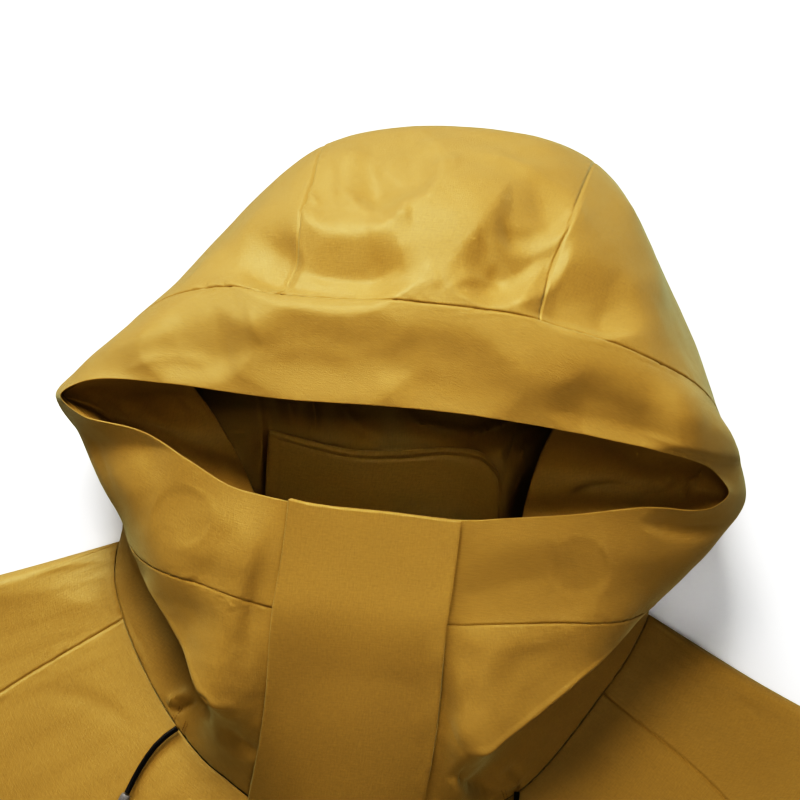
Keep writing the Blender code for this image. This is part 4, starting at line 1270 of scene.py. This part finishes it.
def facing_grid(corner, upper_end, lower_end, depth, bulge):
    """A facing's face: slices from the corner of the mouth to the free edge, each hung from under the
    upper lip to under the lower lip as a half sine, deeper and more bulged towards the free edge, and
    moved in where the shell over its edges is pressed in."""
    total = COLUMN_STARTS[-1]
    start = start_column(corner)
    turn = 1 if corner == "left_corner" else -1
    uppers = (turn * (start_column(upper_end[0]) + upper_end[1] - start)) % total
    lowers = (turn * (start - start_column(lower_end[0]) - lower_end[1])) % total
    share = np.linspace(FACING_START, 1, FACING_SLICES)
    cloth = bpy.context.scene.jacket_cloth
    ends = []
    for reach in (turn * uppers, -turn * lowers):
        params = section_at(start + reach * share)
        line = shell(params, [FACING_LEVEL])
        out = shell_normals(params, [FACING_LEVEL])
        pressed = np.minimum(creased(to_plan(line), SHELL_CREASES), 0.0)[..., None] / 1000.0
        ends.append((line - out * (wall_depth(line, cloth.wall) + FACING_OFF - pressed))[0])
    across = np.linspace(0, 1, FACING_STEPS + 1)[None, :, None]
    sag = np.sin(math.pi * across) ** 0.8
    face = ends[0][:, None] + (ends[1] - ends[0])[:, None] * across
    face[..., 2:] -= LAYER_GAP + sag * depth * share[:, None, None]
    face[..., :1] += turn * sag * bulge * share[:, None, None]
    return face if turn > 0 else face[:, ::-1]


class JACKET_OT_lining(bpy.types.Operator):
    """The facings inside the corners of the mouth and the panel at the back of the neck"""

    bl_idname = "jacket.lining"
    bl_label = "Make the facings and neck panel"

    def execute(self, context):
        cloth = context.scene.jacket_cloth
        look = lining_look()
        for seed, (node, row) in enumerate(FACINGS.items(), 51):
            base = facing_grid(*row)
            out = grid_normals(base)
            runs = edge_runs(base)
            free = free_of(runs, "tblr", 0.012)
            height = (0.0009 * waves(base, 0.045, seed) + 0.0004 * waves(base, 0.02, seed + 5)) * free
            height += creased(to_plan(base), FACING_CREASES) / 1000.0 * free
            outer = base + out * height[..., None]
            inner = outer - out * cloth.facing_wall
            add_cloth(node, outer, inner, runs, look, "b", held="hung")
        ends = np.array(NECK_PANEL, float)[::-1]
        params = np.linspace(0, len(ends) - 1, 71)
        top = along_knots(from_plan(*ends[:, 0:3].T)[:, None], params)[:, 0]
        foot = along_knots(from_plan(*ends[:, 3:6].T)[:, None], params)[:, 0]
        share = graded(50)[:, None, None]
        base = top * (1 - share) + foot * share
        out = grid_normals(base)
        runs = edge_runs(base)
        hem = np.minimum.reduce([runs[s] for s in "tlr"])
        height = 0.0005 * waves(base, 0.05, 57) * eased(hem, 0.0, 0.01)
        for size, place, width in PANEL_HEM:
            height += size * np.exp(-(((hem - place) / width) ** 2))
        outer = base + out * height[..., None]
        inner = outer - out * cloth.facing_wall
        add_cloth("neck_panel", outer, inner, runs, look, "tlr")
        return {"FINISHED"}


# ---- Bar tacks ----

# Where the bar tacks beside the cords stand on the neck seam, as sections and offsets in sections,
# and the levels they run between. A stitch has a ring for each share of its radius in STITCH_ROUND, and
# the next one starts STITCH_STEPS rings on.
TACKS = {"collar_20": (-0.21, -0.25, -0.43, -0.47), "collar_15": (0.00, 0.06, 0.46, 0.56)}
TACK_LEVELS = (8.94, 8.42)
TACK_STITCHES = 6
STITCH_STEPS = 5
STITCH_ROUND = (0.35, 1.0, 1.0, 0.35)
STITCH_SIDES = 6
STITCH_RADIUS = 0.00022
STITCH_LIFT = 0.9


def thread_look():
    """Thread: a fine two-tone noise."""
    look, tree, shader = new_look("ochre_thread", Roughness=0.5)
    where = tree.nodes.new("ShaderNodeTexCoord")
    twist = noise_node(tree, where.outputs["Object"], 1500.0, 1.0)
    two_tone(tree, shader, twist, (0.10, 0.052, 0.010), (0.21, 0.115, 0.024))
    return look


def tack_rings(place, levels):
    """The rings of one tack's stitches, (stitches, rings, sides, 3): circles round the shell's line down
    a section, smaller at each stitch's ends and lifted by most of a radius."""
    base = shell([place], levels)[:, 0]
    out = shell_normals([place], levels)[:, 0]
    lift = creased(to_plan(base), SHELL_CREASES) / 1000.0 + STITCH_RADIUS * STITCH_LIFT
    base = base + out * lift[:, None]
    side = np.cross(unit(np.gradient(base, axis=0)), out)
    rings = len(STITCH_ROUND)
    base, out, side = (
        rows.reshape(TACK_STITCHES, STITCH_STEPS, 1, 3)[:, :rings] for rows in (base, out, side)
    )
    turn = np.linspace(0, 2 * math.pi, STITCH_SIDES, endpoint=False)[:, None]
    radius = np.array(STITCH_ROUND)[:, None, None] * STITCH_RADIUS
    return base + radius * (np.cos(turn) * side + np.sin(turn) * out)


class JACKET_OT_tacks(bpy.types.Operator):
    """The bar tacks beside the drawcords: rows of short stitches up from the neck seam"""

    bl_idname = "jacket.tacks"
    bl_label = "Make the bar tacks"

    def execute(self, context):
        levels = np.linspace(*TACK_LEVELS, TACK_STITCHES * STITCH_STEPS)
        places = [section(name, offset) for name, offsets in TACKS.items() for offset in offsets]
        stitches = np.concatenate([tack_rings(place, levels) for place in places])
        index = np.arange(stitches[..., 0].size).reshape(stitches.shape[:3])
        faces = [face for stitch in index for face in tube_faces(stitch)]
        mesh = smooth_mesh("bar_tacks", stitches.reshape(-1, 3).tolist(), faces)
        add_piece("bar_tacks", mesh, thread_look())
        return {"FINISHED"}


# ---- Drawcords ----


def cord_line(name, neck, radius):
    """The cord's route: plan points at the chest's height, on one smooth line, evenly spaced."""
    across, down = np.array(CORDS[name], float).T
    height = np.full(len(across), LAID_HEIGHT)
    for _ in range(4):
        height = chest_height(from_plan(across, down, height * 1000), neck) + radius + CORD_LIFT
    knots = from_plan(across, down, height * 1000)
    trim = bpy.context.scene.jacket_trim
    knots[-1, 2] += (trim.end_diameter - trim.cord_diameter) / 2 + LAYER_GAP
    line = smooth_line(knots, LINE_STEPS)
    return spaced(line, round(lengths(line)[-1] / CORD_STEP))


def cord_look():
    """Braided cord: diagonal waves in near black, as colour and bump."""
    look, tree, shader = new_look("black_braid", Roughness=0.34)
    where = tree.nodes.new("ShaderNodeTexCoord")
    braid = tree.nodes.new("ShaderNodeTexWave")
    braid.bands_direction = "DIAGONAL"
    braid.inputs["Scale"].default_value = 420.0
    braid.inputs["Distortion"].default_value = 1.5
    link(tree, where.outputs["Object"], braid.inputs["Vector"])
    two_tone(tree, shader, braid.outputs["Fac"], (0.003, 0.003, 0.003), (0.013, 0.012, 0.011))
    bumped(tree, shader, braid.outputs["Fac"], 0.5, 0.0001)
    return look


def end_look():
    """Moulded plastic: fine grain in two greys and in the roughness."""
    look, tree, shader = new_look("grey_moulded")
    where = tree.nodes.new("ShaderNodeTexCoord")
    grain = noise_node(tree, where.outputs["Object"], 900.0, 2.0)
    two_tone(tree, shader, grain, (0.075, 0.070, 0.064), (0.15, 0.14, 0.13))
    link(tree, math_node(tree, "MULTIPLY_ADD", grain, 0.2, 0.32), shader.inputs["Roughness"])
    return look


def turned_mesh(name, start, way, profile, sides=28):
    """A profile of (distance along the way, radius) turned round it, closed at both ends."""
    side = unit(np.cross(way, (0.0, 0.0, 1.0)))
    up = np.cross(side, way)
    turn = np.linspace(0, 2 * math.pi, sides, endpoint=False)
    ring = np.cos(turn)[:, None] * side + np.sin(turn)[:, None] * up
    points = start + profile[:, :1, None] * way + profile[:, 1:, None] * ring[None]
    index = np.arange(len(profile) * sides).reshape(len(profile), sides)
    mesh = smooth_mesh(name, points.reshape(-1, 3).tolist(), tube_faces(index))
    mesh.set_sharp_from_angle(angle=math.radians(END_SHARP))
    return mesh


class JACKET_OT_cords(bpy.types.Operator):
    """The two drawcords and their moulded ends"""

    bl_idname = "jacket.cords"
    bl_label = "Make the drawcords"

    def execute(self, context):
        trim = context.scene.jacket_trim
        neck = neck_line()
        cord_material, end_material = cord_look(), end_look()
        for name in CORDS:
            line = cord_line(name, neck, trim.cord_diameter / 2)
            curve = bpy.data.curves.new("drawcord_" + name, "CURVE")
            curve.dimensions = "3D"
            curve.bevel_depth = trim.cord_diameter / 2
            curve.bevel_resolution = 5
            curve.use_fill_caps = True
            spline = curve.splines.new("POLY")
            spline.points.add(len(line) - 1)
            spline.points.foreach_set("co", np.column_stack([line, np.ones(len(line))]).ravel())
            spline.use_smooth = True
            cord = add_piece("drawcord_" + name, curve, cord_material, "cord_" + name)
            way = unit(line[-1] - line[-2])
            tip = line[-1] + unit(way * (1.0, 1.0, 0.0)) * CORD_END_LENGTH
            tip[2] = chest_height(tip[None], neck)[0] + trim.end_diameter / 2 + CORD_LIFT
            way = unit(tip - line[-1])
            profile = np.array(CORD_END_PROFILE) * (1.0, trim.end_diameter / 2)
            start = line[-1] + way * LAYER_GAP
            mesh = turned_mesh("drawcord_end_" + name, start, way, profile)
            end = add_piece(mesh.name, mesh, end_material, "cord_end_" + name)
        return {"FINISHED"}


# ---- Floor, light and camera ----

# The camera's tone curve: the brightness that is white, its contrast, its middle, and the first, last
# and number of the points it is set at
TONE_WHITE = 1.25
TONE_CONTRAST = 1.7
TONE_MIDDLE = 0.5
TONE_POINTS = (0.01, 0.82, 12)


def toned(share):
    """What the camera makes of a brightness, both as shares of white: the share to the power of the
    contrast, over itself plus the middle to that power, scaled so that white stays white."""
    power, middle = share**TONE_CONTRAST, TONE_MIDDLE**TONE_CONTRAST
    return power * (1 + middle) / (power + middle)


# The lamps: place, size, the name of the power's property, colour, spread in degrees and whether they
# show in reflections. All are square and aimed at the jacket.
LAMPS = {
    "key_light": ((-0.37, 1.50, 1.84), 0.80, "key_power", (1.0, 0.99, 0.96), 180, False),
    "back_light": ((-1.00, 1.92, 1.22), 0.80, "back_power", (1.0, 0.99, 0.96), 180, True),
    "overhead_light": ((0.1, -0.2, 2.6), 1.40, "fill_power", (0.97, 0.985, 1.0), 180, False),
    "front_light": ((0.60, -1.60, 1.00), 1.20, "front_power", (1.0, 0.99, 0.97), 180, False),
    "opening_light": ((0.16, 0.17, 1.30), 0.12, "opening_power", (1.0, 0.98, 0.95), 15, False),
}
LAMPS_AIM = (-0.005, 0.035, 0.03)
AIR_COLOUR = (0.92, 0.96, 1.0, 1.0)
FLOOR_HALF = 4.0
FLOOR_DROP = 0.0004
SENSOR_WIDTH = 36.0


class JACKET_OT_stage(bpy.types.Operator):
    """The pale floor, the soft studio light and the camera straight above"""

    bl_idname = "jacket.stage"
    bl_label = "Make the stage"

    def execute(self, context):
        stage = context.scene.jacket_stage
        mesh = bpy.data.meshes.new("studio_floor")
        corners = ((-1, -1), (1, -1), (1, 1), (-1, 1))
        mesh.from_pydata([(x * FLOOR_HALF, y * FLOOR_HALF, -FLOOR_DROP) for x, y in corners], [], [range(4)])
        floor = add_object("studio_floor", mesh)
        colour = (*stage.floor_colour, 1.0)
        look, _, _ = new_look("floor_white", Base_Color=colour, Roughness=0.9, Specular_IOR_Level=0.1)
        mesh.materials.append(look)
        floor.visible_glossy = False
        for name, (place, size, power, colour, spread, mirrored) in LAMPS.items():
            light = bpy.data.lights.new(name, "AREA")
            light.energy = getattr(stage, power)
            light.size = size
            light.color = colour
            light.spread = math.radians(spread)
            lamp = add_object(name, light)
            lamp.location = place
            lamp.visible_glossy = mirrored
            x, y, z = np.array(LAMPS_AIM) - place
            lamp.rotation_euler = (math.atan2(math.hypot(x, y), -z), 0.0, math.atan2(x, -y) + math.pi)
        world = bpy.data.worlds.new("studio_air")
        context.scene.world = world
        world.use_nodes = True
        world.cycles_visibility.glossy = False
        air = world.node_tree.nodes["Background"]
        air.inputs["Color"].default_value = AIR_COLOUR
        air.inputs["Strength"].default_value = stage.air_strength
        lens = bpy.data.cameras.new("photo_camera")
        lens.sensor_width = SENSOR_WIDTH
        lens.lens = SENSOR_WIDTH / 2 / (PLAN_CENTRE * PLAN_UNIT / EYE_HEIGHT)
        camera = add_object("photo_camera", lens)
        camera.location = (EYE_X, EYE_Y, EYE_HEIGHT)
        camera.rotation_euler = (0.0, 0.0, PLAN_TURN)
        context.scene.camera = camera
        settings = context.scene.view_settings
        settings.view_transform = "Standard"
        settings.use_curve_mapping = True
        settings.curve_mapping.white_level = (TONE_WHITE,) * 3
        for share in np.geomspace(*TONE_POINTS):
            settings.curve_mapping.curves[3].points.new(share, toned(share))
        settings.curve_mapping.update()
        return {"FINISHED"}


# ---- The add-on ----


def length(name, description, default):
    """A length as a property."""
    return bpy.props.FloatProperty(name=name, description=description, unit="LENGTH", default=default)


class JacketCloth(bpy.types.PropertyGroup):
    """Sizes and colours of the cloth"""

    shell_colour: bpy.props.FloatVectorProperty(
        name="Shell colour", description="Colour of the outer cloth", subtype="COLOR", size=3,
        min=0.0, max=1.0, default=(0.25, 0.146, 0.035),
    )
    lining_colour: bpy.props.FloatVectorProperty(
        name="Lining colour", description="Colour of the cloth inside the hood", subtype="COLOR", size=3,
        min=0.0, max=1.0, default=(0.25, 0.146, 0.035),
    )
    thread: length("Thread", "Width of one thread of the weave", 0.00036)
    wall: length("Wall", "Thickness of shell, fill and lining together", 0.0026)
    flap_wall: length("Flap wall", "Thickness of the storm flap", 0.0022)
    facing_wall: length("Facing wall", "Thickness of the facings", 0.0014)
    crease_strength: bpy.props.FloatProperty(
        name="Crease strength", description="How deep the creases are, 1 as in the tables", default=1.0,
    )


class JacketTrim(bpy.types.PropertyGroup):
    """Sizes of the drawcords"""

    cord_diameter: length("Cord diameter", "Diameter of a drawcord", 0.0025)
    end_diameter: length("Cord end diameter", "Diameter of the moulded end", 0.0048)


def power(name, description, default):
    """A lamp's power as a property."""
    return bpy.props.FloatProperty(name=name, description=description, unit="POWER", default=default)


class JacketStage(bpy.types.PropertyGroup):
    """Light and floor"""

    key_power: power("Key light", "Power of the main light", 73.0)
    back_power: power("Back light", "Power of the low light behind the hood", 62.0)
    fill_power: power("Fill light", "Power of the fill light", 17.0)
    front_power: power("Front light", "Power of the low light from the hem's side", 9.0)
    opening_power: power("Opening light", "Power of the narrow light over the face opening", 0.046)
    air_strength: bpy.props.FloatProperty(
        name="Air", description="Strength of the light from all round", default=0.08,
    )
    floor_colour: bpy.props.FloatVectorProperty(
        name="Floor colour", description="Colour of the floor", subtype="COLOR", size=3,
        default=(0.95, 0.955, 0.96),
    )


class JACKET_PT_panel(bpy.types.Panel):
    """The jacket's sizes, colours and steps"""

    bl_idname = "JACKET_PT_panel"
    bl_label = "Jacket"
    bl_space_type = "VIEW_3D"
    bl_region_type = "UI"
    bl_category = "Jacket"

    def draw(self, context):
        for group in (context.scene.jacket_cloth, context.scene.jacket_trim, context.scene.jacket_stage):
            box = self.layout.box()
            for key in group.__annotations__:
                box.prop(group, key)
        for step in STEPS:
            self.layout.operator(step.bl_idname)


STEPS = (
    JACKET_OT_stage,
    JACKET_OT_cords,
    JACKET_OT_hood,
    JACKET_OT_collar,
    JACKET_OT_body,
    JACKET_OT_storm_flap,
    JACKET_OT_lining,
    JACKET_OT_tacks,
)
GROUPS = (JacketCloth, JacketTrim, JacketStage)


def register():
    for kind in (*GROUPS, *STEPS, JACKET_PT_panel):
        bpy.utils.register_class(kind)
    bpy.types.Scene.jacket_cloth = bpy.props.PointerProperty(type=JacketCloth)
    bpy.types.Scene.jacket_trim = bpy.props.PointerProperty(type=JacketTrim)
    bpy.types.Scene.jacket_stage = bpy.props.PointerProperty(type=JacketStage)


def unregister():
    del bpy.types.Scene.jacket_cloth
    del bpy.types.Scene.jacket_trim
    del bpy.types.Scene.jacket_stage
    for kind in reversed((*GROUPS, *STEPS, JACKET_PT_panel)):
        bpy.utils.unregister_class(kind)


def main():
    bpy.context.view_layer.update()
    register()
    for step in STEPS:
        getattr(bpy.ops.jacket, step.bl_idname.split(".")[1])()


if __name__ == "__main__":
    main()
